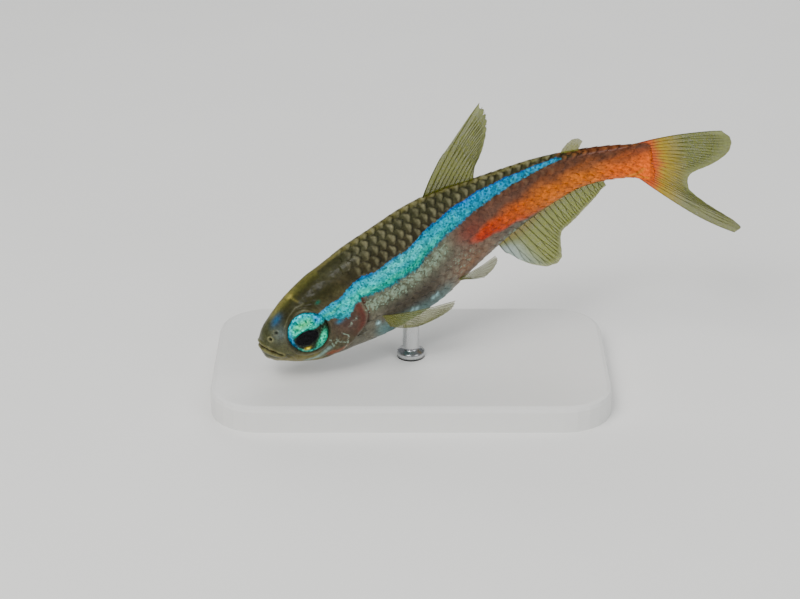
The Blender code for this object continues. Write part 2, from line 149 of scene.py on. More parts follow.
def mix(first, second, share):
    return first * (1 - share) + second * share


def unit(v):
    return v / np.maximum(np.linalg.norm(v, axis=-1, keepdims=True), 1e-12)


def turned(first, second, angle):
    """Two directions turned in their own plane, the first towards the second."""
    c, s = math.cos(angle), math.sin(angle)
    return first * c + second * s, second * c - first * s


def build_frames():
    """Spine point, tailward, back and left directions, one row each step."""
    yaw, pitch, roll = (math.radians(q) for q in (HEAD_YAW, HEAD_PITCH, HEAD_ROLL))
    cp, sp = math.cos(pitch), math.sin(pitch)
    cy, sy = math.cos(yaw), math.sin(yaw)
    a = Vector((cp * cy, -cp * sy, sp))
    d = Vector((-sp * cy, sp * sy, cp))
    left = a.cross(d)
    if left.y > 0:
        left = -left
    d, left = turned(d, left, roll)
    c = Vector((0, 0, 0))
    rows = [(c, a, d, left)]
    last = [0.0, 0.0, 0.0]
    for i in range(1, STEPS + 1):
        now = [math.radians(smooth(POSE, k, i * STEP)) for k in (1, 2, 3)]
        bend, twist, arch = (now[k] - last[k] for k in range(3))
        last = now
        old = a
        a, left = turned(a, left, bend)
        a, d = turned(a, d, -arch)
        d, left = turned(d, left, twist)
        c = c + (a + old) * (0.5 * STEP * SL)
        rows.append((c, a, d, left))
    return np.array([[list(v) for v in row] for row in rows])


FRAMES = build_frames()
ROOTED = tuple((math.sqrt(row[0] - SNOUT),) + row[1:] for row in PROFILE)
ROOTS = np.linspace(0.0, 1.0, 900)
SECTION = np.array([[smooth(ROOTED, k, t) * SL for t in ROOTS] for k in (1, 2, 3, 4)])


def section(s):
    """Top, bottom, widest level and half width at stations, in mm."""
    t = np.sqrt(np.clip(s - SNOUT, 0.0, 1.0))
    return [np.interp(t, ROOTS, row) for row in SECTION]


def frame(s):
    """Spine points, tailward, back and left directions at stations."""
    s = np.asarray(s, float)
    q = np.clip(s, 0.0, STEPS * STEP - 0.001) / STEP
    i = np.floor(q).astype(int)
    f = (q - i)[..., None]
    c, a, d, left = (mix(FRAMES[i, k], FRAMES[i + 1, k], f) for k in range(4))
    a = unit(a)
    left = unit(left - a * (left * a).sum(-1, keepdims=True))
    d = unit(d - a * (d * a).sum(-1, keepdims=True) - left * (d * left).sum(-1, keepdims=True))
    return c + a * (np.minimum(s, 0.0) * SL)[..., None], a, d, left


ROD_FOOT = frame(ROD_STATION)[0]
SHIFT = np.array((-ROD_FOOT[0], -ROD_FOOT[1], LIFT))


def place(s, height, width):
    """Points from stations, heights and widths, the last two in mm."""
    s, height, width = np.broadcast_arrays(np.asarray(s, float), height, width)
    spine, _, back, left = frame(s)
    return spine + back * height[..., None] + left * width[..., None] + SHIFT


def side_view(s, phi, grow=0.0):
    """A place on the skin as mm tailward and mm up, as seen from the side."""
    top, bottom, level = section(s)[:3]
    z = np.cos(phi)
    return s * SL, level + (np.where(z > 0, top - level, level - bottom) + grow) * z


def skin_point(s, phi, grow=0.0):
    """Points of the bare skin: phi 0 is the back, pi the belly, positive on the left."""
    s, phi, grow = np.broadcast_arrays(np.asarray(s, float), phi, grow)
    half = section(s)[3] * (1 - 0.78 * ease(s, 0.92, 1.004))
    return place(s, side_view(s, phi, grow)[1], (half + grow) * np.sin(phi))


def eye_offset(s, phi):
    """Distance from the middle of the eye, in mm, as seen from the side."""
    x, y = side_view(s, phi)
    return np.hypot(x - EYE_STATION * SL, y - EYE_HEIGHT * SL)


def gill_distance(s, phi):
    """Millimetres behind the rear edge of the gill cover, measured along the side."""
    return (s - curve(GILL_REAR, 1, np.abs(phi))) * SL


def new_mesh(name, points, faces, layers, material):
    """A mesh object from points in mm, with float vectors stored on its points."""
    mesh = bpy.data.meshes.new(name)
    mesh.from_pydata([tuple(p) for p in np.asarray(points).reshape(-1, 3) * MM], [], faces)
    mesh.validate()
    for label, values in layers.items():
        layer = mesh.attributes.new(label, "FLOAT_VECTOR", "POINT")
        layer.data.foreach_set("vector", np.asarray(values, np.float32).reshape(-1))
    mesh.polygons.foreach_set("use_smooth", [True] * len(mesh.polygons))
    mesh.materials.append(material)
    obj = bpy.data.objects.new(name, mesh)
    bpy.context.scene.collection.objects.link(obj)
    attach(obj, "root")
    return obj


def read_all(items, field):
    values = np.zeros(len(items), int)
    items.foreach_get(field, values)
    return values


def write_uv(obj, uv):
    layer = obj.data.uv_layers.new(name="OFBake")
    layer.data.foreach_set("uv", uv.astype(np.float32).reshape(-1))


def grid_faces(rows, columns, start=0, wrap=False, flip=False):
    """Quads over a grid of points, closed round the columns when wrapped."""
    faces = []
    for i in range(rows - 1):
        for j in range(columns if wrap else columns - 1):
            near, far = start + i * columns, start + (i + 1) * columns
            k = (j + 1) % columns
            quad = (near + j, near + k, far + k, far + j)
            faces.append(quad[::-1] if flip else quad)
    return faces


def capped_faces(rows, columns):
    """Faces over rings of points, with a pole at each end; the two poles follow the rings."""
    faces = grid_faces(rows, columns, 0, True)
    n = rows * columns
    for j in range(columns):
        k = (j + 1) % columns
        faces.append((n, k, j))
        faces.append((n + 1, n - columns + j, n - columns + k))
    return faces


def plate_faces(rows, columns, flip=False):
    """Faces of a thin plate: a grid of points, the same grid behind it, and the rim between them."""
    flat = grid_faces(rows, columns)
    n = rows * columns
    rim = [i * columns for i in range(rows)]
    rim += [(rows - 1) * columns + j for j in range(1, columns)]
    rim += [i * columns + columns - 1 for i in range(rows - 2, -1, -1)]
    rim += list(range(columns - 2, 0, -1))
    faces = [f[::-1] for f in flat] + [tuple(q + n for q in f) for f in flat]
    faces += [(a, b, b + n, a + n) for a, b in zip(rim, rim[1:] + rim[:1])]
    return [f[::-1] for f in faces] if flip else faces


def near_line(x, y, points):
    """Distance in the flat to a line through points."""
    best = np.full(np.shape(x), 1e9)
    for (x0, y0), (x1, y1) in zip(points[:-1], points[1:]):
        dx, dy = x1 - x0, y1 - y0
        t = np.clip(((x - x0) * dx + (y - y0) * dy) / (dx * dx + dy * dy), 0, 1)
        best = np.minimum(best, np.hypot(x - x0 - t * dx, y - y0 - t * dy))
    return best


def gauss(x, y, cx, cy, rx, ry):
    """A soft round spot."""
    return np.exp(-(((x - cx) / rx) ** 2 + ((y - cy) / ry) ** 2))


def blend(under, *coats):
    """Lays colours over a first one in turn, each by a share at each place."""
    tone = np.asarray(under)
    for over, share in coats:
        tone = tone + (np.asarray(over) - tone) * np.clip(share, 0, 1)[..., None]
    return tone


def paint(s, v, gill):
    """The fish's markings from station, height (-1 belly, 1 back) and mm behind the gill cover.

    It gives the plain colour, the stripe's colour, and how far the stripe, the orange band and
    the silvery grains cover a place. Marks are set by x, mm from the snout, and y, three times the height.
    """
    x, y = s * SL, v * 3.0
    low, high = curve(STRIPE, 1, s), curve(STRIPE, 2, s)
    b = (v - low) / (high - low) + 0.035 * np.sin(x * 3.1 + 2.0 * np.sin(y * 2.1))
    low, high = curve(ORANGE, 1, s), curve(ORANGE, 2, s)
    o = (v - low) / (high - low) + 0.05 * np.sin(x * 2.7 + 2.0 * np.sin(y * 2.3))

    def spot(cx, cy, rx, ry):
        return gauss(x, y, cx, cy, rx, ry)

    def line(*points):
        return near_line(x, y, points)

    # back and belly
    glint = line((6.9, -0.4), (9.2, -0.4), (11.2, -0.25), (12.6, 0.05))
    # painted glints: five small bright silver-white highlights low on the belly
    silver = [((0.5, 0.86, 0.88), spot(cx, cy, 0.11, 0.13) * 0.9)
              for cx, cy in ((11.0, -2.15), (9.2, -2.11), (7.1, -1.7), (10.7, -2.2), (9.5, -2.2))]
    tone = blend(
        (0.125, 0.115, 0.08),
        ((0.034, 0.029, 0.012), ease(v, 0.2, 0.55)),
        ((0.036, 0.036, 0.014), ease(v, 0.6, 0.9)),
        ((0.3, 0.26, 0.07), ease(v, 0.97, 1.0) * fall(s, 0.74, 0.82) * 0.32),
        ((0.105, 0.092, 0.066), ease(-v, 0.05, 0.4) * ease(s, 0.24, 0.3)),
        ((0.1, 0.24, 0.24), ease(-v, 0.52, 0.78) * ease(s, 0.24, 0.27) * fall(s, 0.43, 0.48) * 0.7),
        ((0.055, 0.042, 0.028), ridge(line((8.0, -0.75), (9.2, -1.15), (10.8, -1.55)), 0.75) * 0.85),
        ((0.14, 0.17, 0.1), ridge(glint, 0.5) * 0.6),
        *silver,
        ((0.3, 0.15, 0.08), spot(14.2, -2.0, 1.9, 1.0) * 0.8),
        ((0.5, 0.32, 0.17), ease(-v, 0.84, 1.0) * ease(s, 0.42, 0.5) * fall(s, 0.56, 0.62) * 0.7))
    # the orange band and the brown zone over it
    start = ease(s - 0.16 * (np.clip(o, -0.2, 1.2) - 0.4) ** 2, 0.518, 0.562)
    orange = ease(o, -0.1, 0.12) * fall(o, 0.62, 1.16) * start
    warmth = blend(
        (0.6, 0.036, 0.0),
        ((0.72, 0.1, 0.0), ease(s, 0.57, 0.66)),
        ((0.72, 0.155, 0.0), ease(s, 0.64, 0.74) * fall(s, 0.86, 0.94)),
        ((0.8, 0.125, 0.0), ease(s, 0.86, 0.97)),
        ((0.34, 0.08, 0.004), ease(o, 0.5, 0.95) * fall(s, 0.92, 0.98) * 0.6),
        ((0.62, 0.03, 0.0), fall(o, 0.02, 0.26) * fall(s, 0.64, 0.76) * 0.6))
    warmth = warmth * (0.78 + 0.2 * ease(s, 0.7, 0.84)[..., None])
    arcs = np.minimum(line((25.7, -2.3), (26.3, -1.7), (26.6, -0.9)),
                      line((25.1, -2.5), (25.9, -2.4), (26.8, -2.3)))
    tone = blend(
        tone,
        ((0.105, 0.04, 0.022), ease(o, 0.55, 0.95) * fall(b, -0.18, 0.02) * ease(s, 0.46, 0.58) * 0.9),
        ((0.2, 0.022, 0.012), spot(14.6, -0.05, 1.0, 0.95) * 0.65),
        (warmth, orange),
        ((0.72, 0.3, 0.01), ridge(arcs, 0.09) * 0.7),
        ((0.115, 0.026, 0.008),
         ease(v, 0.72, 0.96) * ease(s, 0.8, 0.88) * (1 - 0.7 * ease(s, 0.95, 0.99)) * 0.85),
        ((0.16, 0.14, 0.04), ease(-v, 0.8, 0.93) * ease(s, 0.6, 0.64) * fall(s, 0.86, 0.93) * 0.8))
    # the blue stripe
    blue = ease(b, -0.22, 0.2) * fall(b, 0.9, 1.06)
    blue = blue * ease(s, 0.138, 0.155) * fall(s, 0.785, 0.83) * (1 - 0.36 * ease(s, 0.5, 0.76))
    azure = blend(
        (0.0, 0.4, 0.29),
        ((0.0, 0.15, 0.2), fall(b, -0.02, 0.22)),
        ((0.0, 0.42, 0.56), ease(b, 0.22, 0.6)),
        ((0.0, 0.27, 0.58), ease(s, 0.4, 0.6) * 0.75),
        ((0.0, 0.11, 0.46), ease(b, 0.76, 0.95) * (0.55 + 0.45 * ease(s, 0.22, 0.3))),
        ((0.0, 0.34, 0.44), fall(s, 0.21, 0.24) * fall(b, 0.7, 0.92) * 0.7),
        ((0.0, 0.64, 0.64), spot(6.0, 0.55, 0.9, 0.22) * 0.7),
        ((0.06, 0.56, 0.3), ridge(line((4.4, 0.62), (5.0, 0.5), (5.6, 0.72)), 0.07) * 0.6),
        # a painted highlight: a pale bright patch across the middle of the stripe
        ((0.08, 0.92, 0.86), spot(9.9, 0.98, 1.9, 0.3) * 0.75),
        ((0.01, 0.66, 0.52), spot(6.9, 0.6, 1.2, 0.26) * 0.6),
        ((0.0, 0.54, 0.7), spot(13.6, 1.5, 2.2, 0.24) * 0.6))
    # the head
    head = fall(gill, -0.35, 0.02) * (1 - ease(s, 0.19, 0.235) * ease(v, 0.45, 0.7))
    crescent = ridge(gill + 0.16, 0.4) * ease(-v, -0.3, -0.02) * fall(-v, 0.36, 0.62)
    crest = ease(v, 0.93, 1.0) * ease(s, 0.045, 0.085) * (1 - 0.55 * ease(s, 0.105, 0.15))
    orbit = np.minimum(line((2.3, 1.3), (2.65, 1.69), (3.1, 1.84), (3.51, 1.73), (3.95, 1.2)),
                       line((2.1, 1.7), (2.55, 2.08), (3.15, 2.24), (3.7, 2.1)) + 0.03)
    flesh = blend(
        (0.072, 0.067, 0.03),
        ((0.028, 0.027, 0.008), ease(v, 0.25, 0.62)),
        ((0.07, 0.072, 0.016), ease(v, 0.86, 0.99) * 0.8),
        ((0.058, 0.062, 0.026), fall(s, 0.04, 0.085) * 0.8),
        ((0.065, 0.03, 0.026), gauss(s, v, 0.205, -0.2, 0.045, 0.42) * 0.85),
        ((0.215, 0.185, 0.055), ease(-v, 0.4, 0.8) * fall(s, 0.1, 0.14) * 0.8),
        ((0.24, 0.4, 0.35), ridge(line((2.4, -2.62), (3.1, -2.4), (3.9, -1.86)), 0.13) * 0.85),
        ((0.27, 0.06, 0.025), ridge(line((3.7, -2.4), (4.4, -2.42), (5.2, -2.3)), 0.16) * 0.7),
        ((0.27, 0.115, 0.035), ease(-v, 0.66, 0.9) * ease(s, 0.17, 0.2) * 0.8),
        ((0.112, 0.016, 0.011), crescent * 0.95),
        ((0.008, 0.1, 0.23), gauss(s, v, 0.068, 0.86, 0.013, 0.09) * 0.75),
        ((0.1, 0.14, 0.15), gauss(s, v, 0.062, 0.5, 0.016, 0.28) * 0.5),
        ((0.165, 0.15, 0.04), crest * 0.85),
        ((0.46, 0.4, 0.09), spot(3.24, 2.92, 0.2, 0.055) * 0.8),
        ((0.24, 0.21, 0.05), ridge(line((3.24, 2.91), (3.46, 2.44)), 0.06) * 0.45),
        ((0.15, 0.145, 0.085), ridge(orbit, 0.07) * 0.65),
        ((0.0, 0.16, 0.1), spot(4.46, 1.6, 0.13, 0.1) * 0.8),
        ((0.0, 0.16, 0.27), spot(5.1, -0.28, 0.22, 0.14) * 0.85))
    # pale marks on the cheek and gill cover, and the gills' red in the gill opening, darkened as painted
    # shade in the cleft under the cover
    wander = 0.05 * np.sin(y * 9.0)
    squiggle = np.full(np.shape(x), 1e9)
    for way, points in ((1, ((6.2, -0.5), (6.02, -0.7), (5.72, -0.68), (5.54, -0.92), (5.36, -0.92))),
                        (1, ((4.95, -1.1), (5.16, -1.48), (5.02, -2.02), (4.62, -2.34))),
                        (-1, ((4.46, -1.3), (4.6, -1.78), (4.84, -1.92))),
                        (-1, ((4.05, -1.2), (4.2, -1.62), (4.1, -1.96)))):
        squiggle = np.minimum(squiggle, near_line(x + way * wander, y, points))
    broken = head * (0.45 + 0.55 * ease(np.sin(x * 9.0 + y * 13.0), -0.6, 0.2))
    slit = ridge(gill - 0.06, 0.1) * ease(-v, -0.3, 0.0) * fall(-v, 0.4, 0.7)
    tone = blend(
        tone,
        (flesh, head),
        ((0.36, 0.46, 0.4), ridge(squiggle, 0.03) * broken * 0.45),
        ((0.085, 0.008, 0.006), slit * 0.9))
    sheath = ease(-v, 0.62, 0.8) * ease(s, 0.565, 0.59) * fall(s, 0.66, 0.72)
    sparkle = np.max([0.85 * ridge(glint, 0.46) * fall(s, 0.46, 0.54) * ease(s, 0.235, 0.26),
                      spot(4.35, -1.62, 0.42, 0.34) * 0.62,
                      ridge(squiggle, 0.055) * broken * 0.95,
                      sheath * (0.5 + 0.3 * np.sin(s * 420.0)),
                      spot(13.3, -1.4, 1.9, 1.0) * 0.46], axis=0)
    return np.clip(tone, 0.0, 1.0), azure, blue, orange, sparkle


MOUTH = [((SNOUT + 0.003 + 0.03 * q) * SL, (0.0185 - 0.035 * q) * SL) for q in (-0.25, 1.0)]
# station, angle and size of each pit
NOSTRILS = ((0.038, 0.98, 0.07), (0.055, 0.93, 0.074))
MAXILLA = ((0.8, 0.12), (1.15, -0.16), (1.5, -0.56), (1.72, -0.98), (1.78, -1.3))
JAW_EDGE = ((0.95, -0.95), (1.5, -1.26), (2.3, -1.6), (3.2, -1.92), (4.1, -2.18))
PREOPERCLE = ((4.35, 1.55), (4.72, 0.6), (4.78, -0.35), (4.58, -1.15), (4.05, -1.75), (3.2, -2.05))
CHEEK = ((1.75, -0.35), (2.05, -1.05), (2.75, -1.48), (3.6, -1.42), (4.25, -0.85), (4.42, 0.05))
BROW = ((1.68, 0.78), (2.2, 1.4), (3.1, 1.7), (4.0, 1.5), (4.5, 1.0))
# grooves and swellings of the head: line, distance from it, rise, width, where it ends tailward
HEAD_LINES = (
    (MAXILLA, 0.0, -0.03, 0.05, SL), (MAXILLA, 0.14, 0.03, 0.1, 1.9), (JAW_EDGE, 0.0, -0.035, 0.06, SL),
    (PREOPERCLE, 0.0, -0.045, 0.05, SL), (PREOPERCLE, 0.16, 0.03, 0.1, SL), (CHEEK, 0.0, -0.026, 0.05, SL),
    (BROW, 0.0, 0.03, 0.18, SL), (BROW, 0.22, -0.018, 0.05, SL),
)


def nostril_distance(s, phi, station, angle):
    nx, ny = side_view(np.array(station), np.array(angle))
    x, y = side_view(s, phi)
    return np.hypot(x - nx, y - ny)


def relief(s, phi):
    """How far the skin of the head rises or sinks, in mm."""
    x, y = side_view(s, phi)
    side = np.abs(np.sin(phi))
    mouth = near_line(x, y, MOUTH)
    out = (-0.16 * ridge(mouth, 0.045) + 0.07 * ridge(mouth - 0.15, 0.085)) * fall(s, 0.055, 0.075)
    for points, away, rise, width, end in HEAD_LINES:
        out += rise * ridge(near_line(x, y, points) - away, width) * side * (x < end)
    # eye socket with a low rim
    r = eye_offset(s, phi)
    socket = -0.75 * fall(r, 1.15, 1.29) + 0.055 * ridge(r - 1.38, 0.09) - 0.02 * ridge(r - 1.58, 0.05)
    out += socket * ease(side, 0.35, 0.6)
    # nostrils: two pits in low rings, and none on the midline between the two sides
    for station, angle, size in NOSTRILS:
        d = nostril_distance(s, phi, station, angle) + 9.0 * (side < 0.1)
        out += -0.15 * ridge(d, size) + 0.045 * ridge(d - size * 1.75, 0.05)
    # gill cover: a flap over a sharp cleft, with a few ripples, low on the nape and the throat
    u = gill_distance(s, phi)
    sides = ease(np.abs(phi), 0.98, 1.32)
    flap = 0.11 * ease(u, -1.5, -0.1) * fall(u, -0.03, 0.03)
    cleft = -0.16 * ease(u, -0.03, 0.03) * fall(u, 0.12, 0.5)
    out += (flap + cleft) * sides * (1 - 0.55 * ease(np.abs(phi), 2.1, 2.8))
    out += 0.008 * np.sin((u + 0.25 * y) * 16.0) * ease(u, -1.3, -0.8) * fall(u, -0.4, -0.1) * sides
    # the chin slants back from the lower lip, and the top of the head has a low crest
    out += -0.13 * ease(-np.cos(phi), 0.2, 0.85) * ease(s, SNOUT, SNOUT + 0.006) * fall(s, 0.034, 0.08)
    crest = np.exp(-(np.sin(phi / 2) / 0.1) ** 2) * (np.cos(phi) > 0)
    return out + 0.035 * crest * ease(s, 0.05, 0.1) * fall(s, 0.17, 0.22)


def grain(points, size, seed):
    """Smooth random values at points in mm."""
    shift = Vector((seed * 7.3, seed * 3.1, seed * 5.7))
    values = [noise.noise(Vector(p) + shift) for p in points.reshape(-1, 3) / size]
    return np.array(values).reshape(points.shape[:-1])


def grid_normals(points, inside):
    """Outward directions over a grid that closes round its columns."""
    across = np.roll(points, -1, axis=1) - np.roll(points, 1, axis=1)
    n = unit(np.cross(np.gradient(points, axis=0), across))
    return np.where((n * (points - inside)).sum(-1, keepdims=True) < 0, -n, n)


SKIN_DEPTH = 0.06
HEAD_DEPTH = 0.015
SKIN_COLUMNS = 256
HEAD_ROWS = 172
BODY_ROWS = 124
HEAD_END = 0.29
SKIN_END = 1.004


def build_skin(material):
    """One closed skin from the lips to the root of the tail fin."""
    head = SNOUT + np.linspace(0.012, math.sqrt(HEAD_END - SNOUT), HEAD_ROWS) ** 2
    stations = np.concatenate([head, np.linspace(HEAD_END, SKIN_END, BODY_ROWS)[1:]])
    rows, columns = len(stations), SKIN_COLUMNS
    phi = -math.pi + 2 * math.pi * np.arange(columns) / columns
    s, phi = np.meshgrid(stations, phi, indexing="ij")
    v = np.cos(phi)
    # the rear edge is ragged and runs into the tail fin
    ragged = 0.004 * np.sin(v * 34.0) + 0.003 * np.sin(v * 71.0)
    s = s + ragged * ease(s, 0.98, SKIN_END) - 0.006 * np.abs(v) ** 3 * ease(s, 0.96, SKIN_END)
    bare = skin_point(s, phi)
    gill = gill_distance(s, phi)
    depth = -HEAD_DEPTH - (SKIN_DEPTH - HEAD_DEPTH) * ease(gill, -0.1, 0.5) * ease(s, 0.17, 0.21)
    lift = depth * (1 - 0.6 * ease(s, 0.94, 1.0)) + relief(s, phi) * fall(s, 0.27, HEAD_END)
    lift += 0.01 * grain(bare, 0.22, 1) + 0.006 * grain(bare, 0.09, 2)
    points = bare + grid_normals(bare, place(s, section(s)[2], 0.0)) * lift[..., None]
    poles = [place(SNOUT, -0.02, 0.0), place(1.003, 0.0, 0.0)]
    gill = np.where(np.abs(phi) < 0.45, -2.0 + 4.0 * ease(s, 0.16, 0.24), gill)
    tone, azure, blue, orange, sparkle = paint(s, v, gill)
    r = eye_offset(s, phi)
    side = ease(np.abs(np.sin(phi)), 0.35, 0.6)
    # painted shade in the eye socket: dark behind the eyeball and in a ring round the socket's edge,
    # weaker above
    rim = np.maximum(ridge(r - 1.3, 0.06) * side * (1 - 0.5 * ease(v, 0.3, 0.5)), (r < 1.27) * side)
    mouth = near_line(*side_view(s, phi), MOUTH)
    front = fall(s, 0.055, 0.07)
    # the socket's painted shade, and painted shade along the sunken groove of the mouth
    coats = [((0.03, 0.03, 0.018), rim * 0.62), ((0.035, 0.022, 0.012), ridge(mouth, 0.05) * front * 0.9)]
    # a pale ring round each nostril, and painted shade in the pit itself
    for (station, angle, size), ring in zip(NOSTRILS, (0.5, 0.15)):
        hole = nostril_distance(s, phi, station, angle)
        coats.append(((0.24, 0.23, 0.11), ridge(hole - size * 1.9, 0.045) * ring))
        coats.append(((0.018, 0.015, 0.01), ridge(hole, size) * 0.8))
    coats.append(((0.235, 0.22, 0.085), ridge(mouth - 0.13, 0.075) * front * 0.6))
    tone = blend(tone, *coats)
    mark = np.stack([blue, orange, sparkle], -1)
    layers = {name: np.concatenate([values.reshape(-1, 3), values[0, :1], values[-1, :1]])
              for name, values in (("tone", tone), ("stripe", azure), ("mark", mark))}
    obj = new_mesh("skin", np.concatenate([points.reshape(-1, 3), poles]), capped_faces(rows, columns),
                   layers, material)
    uv_wrap(obj, columns, rows)
    return obj


def uv_wrap(obj, columns, rows):
    """Unwraps the skin by station and angle."""
    u = np.concatenate([np.repeat(np.linspace(0.01, 0.99, rows), columns), [0.005, 0.995]])
    j = np.concatenate([np.tile(np.arange(columns), rows), [0, 0]])
    loops = read_all(obj.data.loops, "vertex_index")
    sizes = read_all(obj.data.polygons, "loop_total")
    owner = np.repeat(np.arange(len(sizes)), sizes)
    column = j[loops].astype(float)
    high = np.zeros(len(sizes))
    np.maximum.at(high, owner, column)
    column = np.where((high[owner] == columns - 1) & (column == 0), columns, column)
    column = np.where(loops >= rows * columns, high[owner] - 0.5, column)
    write_uv(obj, np.stack([u[loops], 0.01 + 0.98 * column / columns], -1))


def arc_table(s):
    """Angles and their distance in mm along the skin from the back at one station."""
    phi = np.linspace(0.0, math.pi, 181)
    width = section(np.array(s))[3] * np.sin(phi)
    run = np.hypot(np.diff(side_view(s, phi)[1]), np.diff(width))
    return phi, np.concatenate([[0.0], np.cumsum(run)])


WRAP_S = np.linspace(0.12, 1.04, 160)
WRAP = [arc_table(q) for q in WRAP_S]
WRAP_TOTAL = np.array([run[-1] for angles, run in WRAP])
WRAP_MID = np.array([np.interp(math.pi / 2, angles, run) for angles, run in WRAP])
WRAP_SHARES = np.linspace(0.0, 1.0, 240)
WRAP_PHI = np.array([np.interp(WRAP_SHARES, run / run[-1], angles) for angles, run in WRAP])


def angle_at(s, rise):
    """The angle round the body at a distance in mm along the skin up from its widest line."""
    q = np.clip((s - WRAP_S[0]) / (WRAP_S[1] - WRAP_S[0]), 0, len(WRAP_S) - 1.001)
    i = q.astype(int)
    f = q - i
    share = (mix(WRAP_MID[i], WRAP_MID[i + 1], f) - rise) / mix(WRAP_TOTAL[i], WRAP_TOTAL[i + 1], f)
    over = np.where(share < 0, -1.0, 1.0)
    past = share > 1
    share = np.abs(share)
    share = np.where(past, 2 - share, share)
    t = np.clip(share, 0, 0.99999) * (len(WRAP_SHARES) - 1)
    k = t.astype(int)
    phi = mix(*(mix(WRAP_PHI[row, k], WRAP_PHI[row, k + 1], t - k) for row in (i, i + 1)), f)
    return np.where(past, 2 * math.pi - phi, phi * over)


SCALE_ACROSS = 9
SCALE_ALONG = 8
SCALE_PITCH = 0.0225
SCALE_COLUMNS = 37
SCALE_ROWS = 8
FIRST_SCALE = 0.198
LAST_SCALE = 0.958
NAPE_SCALE = 0.24


def scale_places():
    """Station, height along the skin, pitch and angle of every scale of one side."""
    for column in range(SCALE_COLUMNS):
        for row in range(-SCALE_ROWS, SCALE_ROWS + 1):
            base = FIRST_SCALE + SCALE_PITCH * (column + 0.5 * (row % 2))
            if base > LAST_SCALE or (base < NAPE_SCALE and row > 2):
                continue
            pitch = 0.6 - 0.21 * float(ease(base, 0.5, 0.95))
            rise = row * pitch + 0.1 * pitch
            top = np.interp(base, WRAP_S, WRAP_MID)
            low = top - np.interp(base, WRAP_S, WRAP_TOTAL)
            if rise > top + 0.1 * pitch or rise < low - 0.1 * pitch:
                continue
            angle = float(angle_at(np.array(base), np.array(rise)))
            if float(gill_distance(np.array(base), np.array(angle))) >= 0.3:
                yield base, rise, pitch, angle


def build_scales(side, name, material):
    """Overlapping round-edged plates in staggered rows, joined to one coat."""
    random = np.random.default_rng(31 if side > 0 else 47)
    i, j = np.meshgrid(np.linspace(-1, 1, SCALE_ACROSS), np.linspace(0, 1, SCALE_ALONG), indexing="ij")
    round_edge = np.sqrt(1 - 0.93 * (np.clip(j - 0.42, 0, 1) / 0.58) ** 2)
    shape_across = i * round_edge * (0.8 + 0.2 * ease(j, 0.0, 0.4))
    shape_along = j * (1 - 0.1 * i * i * j)
    edge = ease(j + 0.16 * i * i, 0.66, 1.02)
    plate = plate_faces(SCALE_ACROSS, SCALE_ALONG, side > 0)
    points, faces, tones, azures, marks, uvs = [], [], [], [], [], []
    for base, rise, pitch, angle in scale_places():
        size = 1 + random.uniform(-0.05, 0.05)
        turn = random.uniform(-0.05, 0.05)
        high = random.uniform(-0.004, 0.004)
        length = 1.42 * SCALE_PITCH * size
        s = base + length * shape_along
        phi = angle_at(s, rise + 0.6 * pitch * size * shape_across + turn * SL * length * shape_along)
        fresh = float(ease(base, 0.195, 0.29))
        lift = -0.054 + 0.046 * shape_along + (high + 0.01 * (1 - i * i)) * j - 0.034 * (1 - fresh) * j
        grooves = 0.003 * np.cos(i * 14.0) * (1 - edge) * ease(j, 0.3, 0.5)
        v = np.cos(phi)
        tone, azure, blue, orange, sparkle = paint(s, v, gill_distance(s, phi))
        plain = np.clip(1 - blue - orange, 0, 1)
        below = ease(curve(STRIPE, 1, s) - v, 0.0, 0.06) * ease(base, 0.44, 0.52)
        back = ease(v, 0.3, 0.55) * plain * (1 - 0.8 * below)
        bar = gauss(i, j - 0.05 * np.cos(i * 3), 0, 0.62, 0.78, 0.11)
        pale = (0.29, 0.265, 0.145) if base < 0.78 else (0.3, 0.1, 0.025)
        tone = blend(tone, (pale, back * bar * random.uniform(0.45, 0.85) * (0.1 + 0.9 * fresh)))
        tone = blend(tone, (tone * 0.4, back * edge * fresh))
        shine = sparkle * plain * gauss(i, j, 0, 0.62, 0.8, 0.16) * random.uniform(0.0, 0.6)
        tone = blend(tone, ((0.34, 0.42, 0.3), shine))
        tone = blend(tone, (tone * 0.84, (plain - back).clip(0, 1) * edge))
        tone = blend(tone, (tone * 0.74, orange * edge))
        shade = 1 + random.uniform(-0.1, 0.1)
        start = 2 * SCALE_ACROSS * SCALE_ALONG * len(uvs)
        faces += [tuple(q + start for q in f) for f in plate]
        points += [skin_point(s, side * phi, lift + grooves), skin_point(s, side * phi, lift - 0.014)]
        tones += [np.clip(tone * shade, 0, 1)] * 2
        azures += [np.clip(azure * shade * (1 - 0.22 * edge[..., None]), 0, 1)] * 2
        marks += [np.stack([blue, orange, sparkle * (1 - 0.5 * edge)], -1)] * 2
        patch = np.stack([base + 0.003 * (j - 0.5), angle / (2 * math.pi) + 0.003 * (i * 0.5)], -1)
        uvs.append(np.tile(patch.reshape(-1, 2), (2, 1)))
    layers = {"tone": tones, "stripe": azures, "mark": marks}
    obj = new_mesh(name, np.array(points), faces, layers, material)
    write_uv(obj, np.concatenate(uvs)[read_all(obj.data.loops, "vertex_index")] % 1.0)
    return obj


EYE_RINGS = 46
EYE_SPOKES = 112
EYE_DOME = 0.5
PUPIL_ALONG = 0.72
PUPIL_UP = 0.44
PUPIL_PLACE = (-0.17, -0.2)
DISC = EYE_RADIUS - 0.035


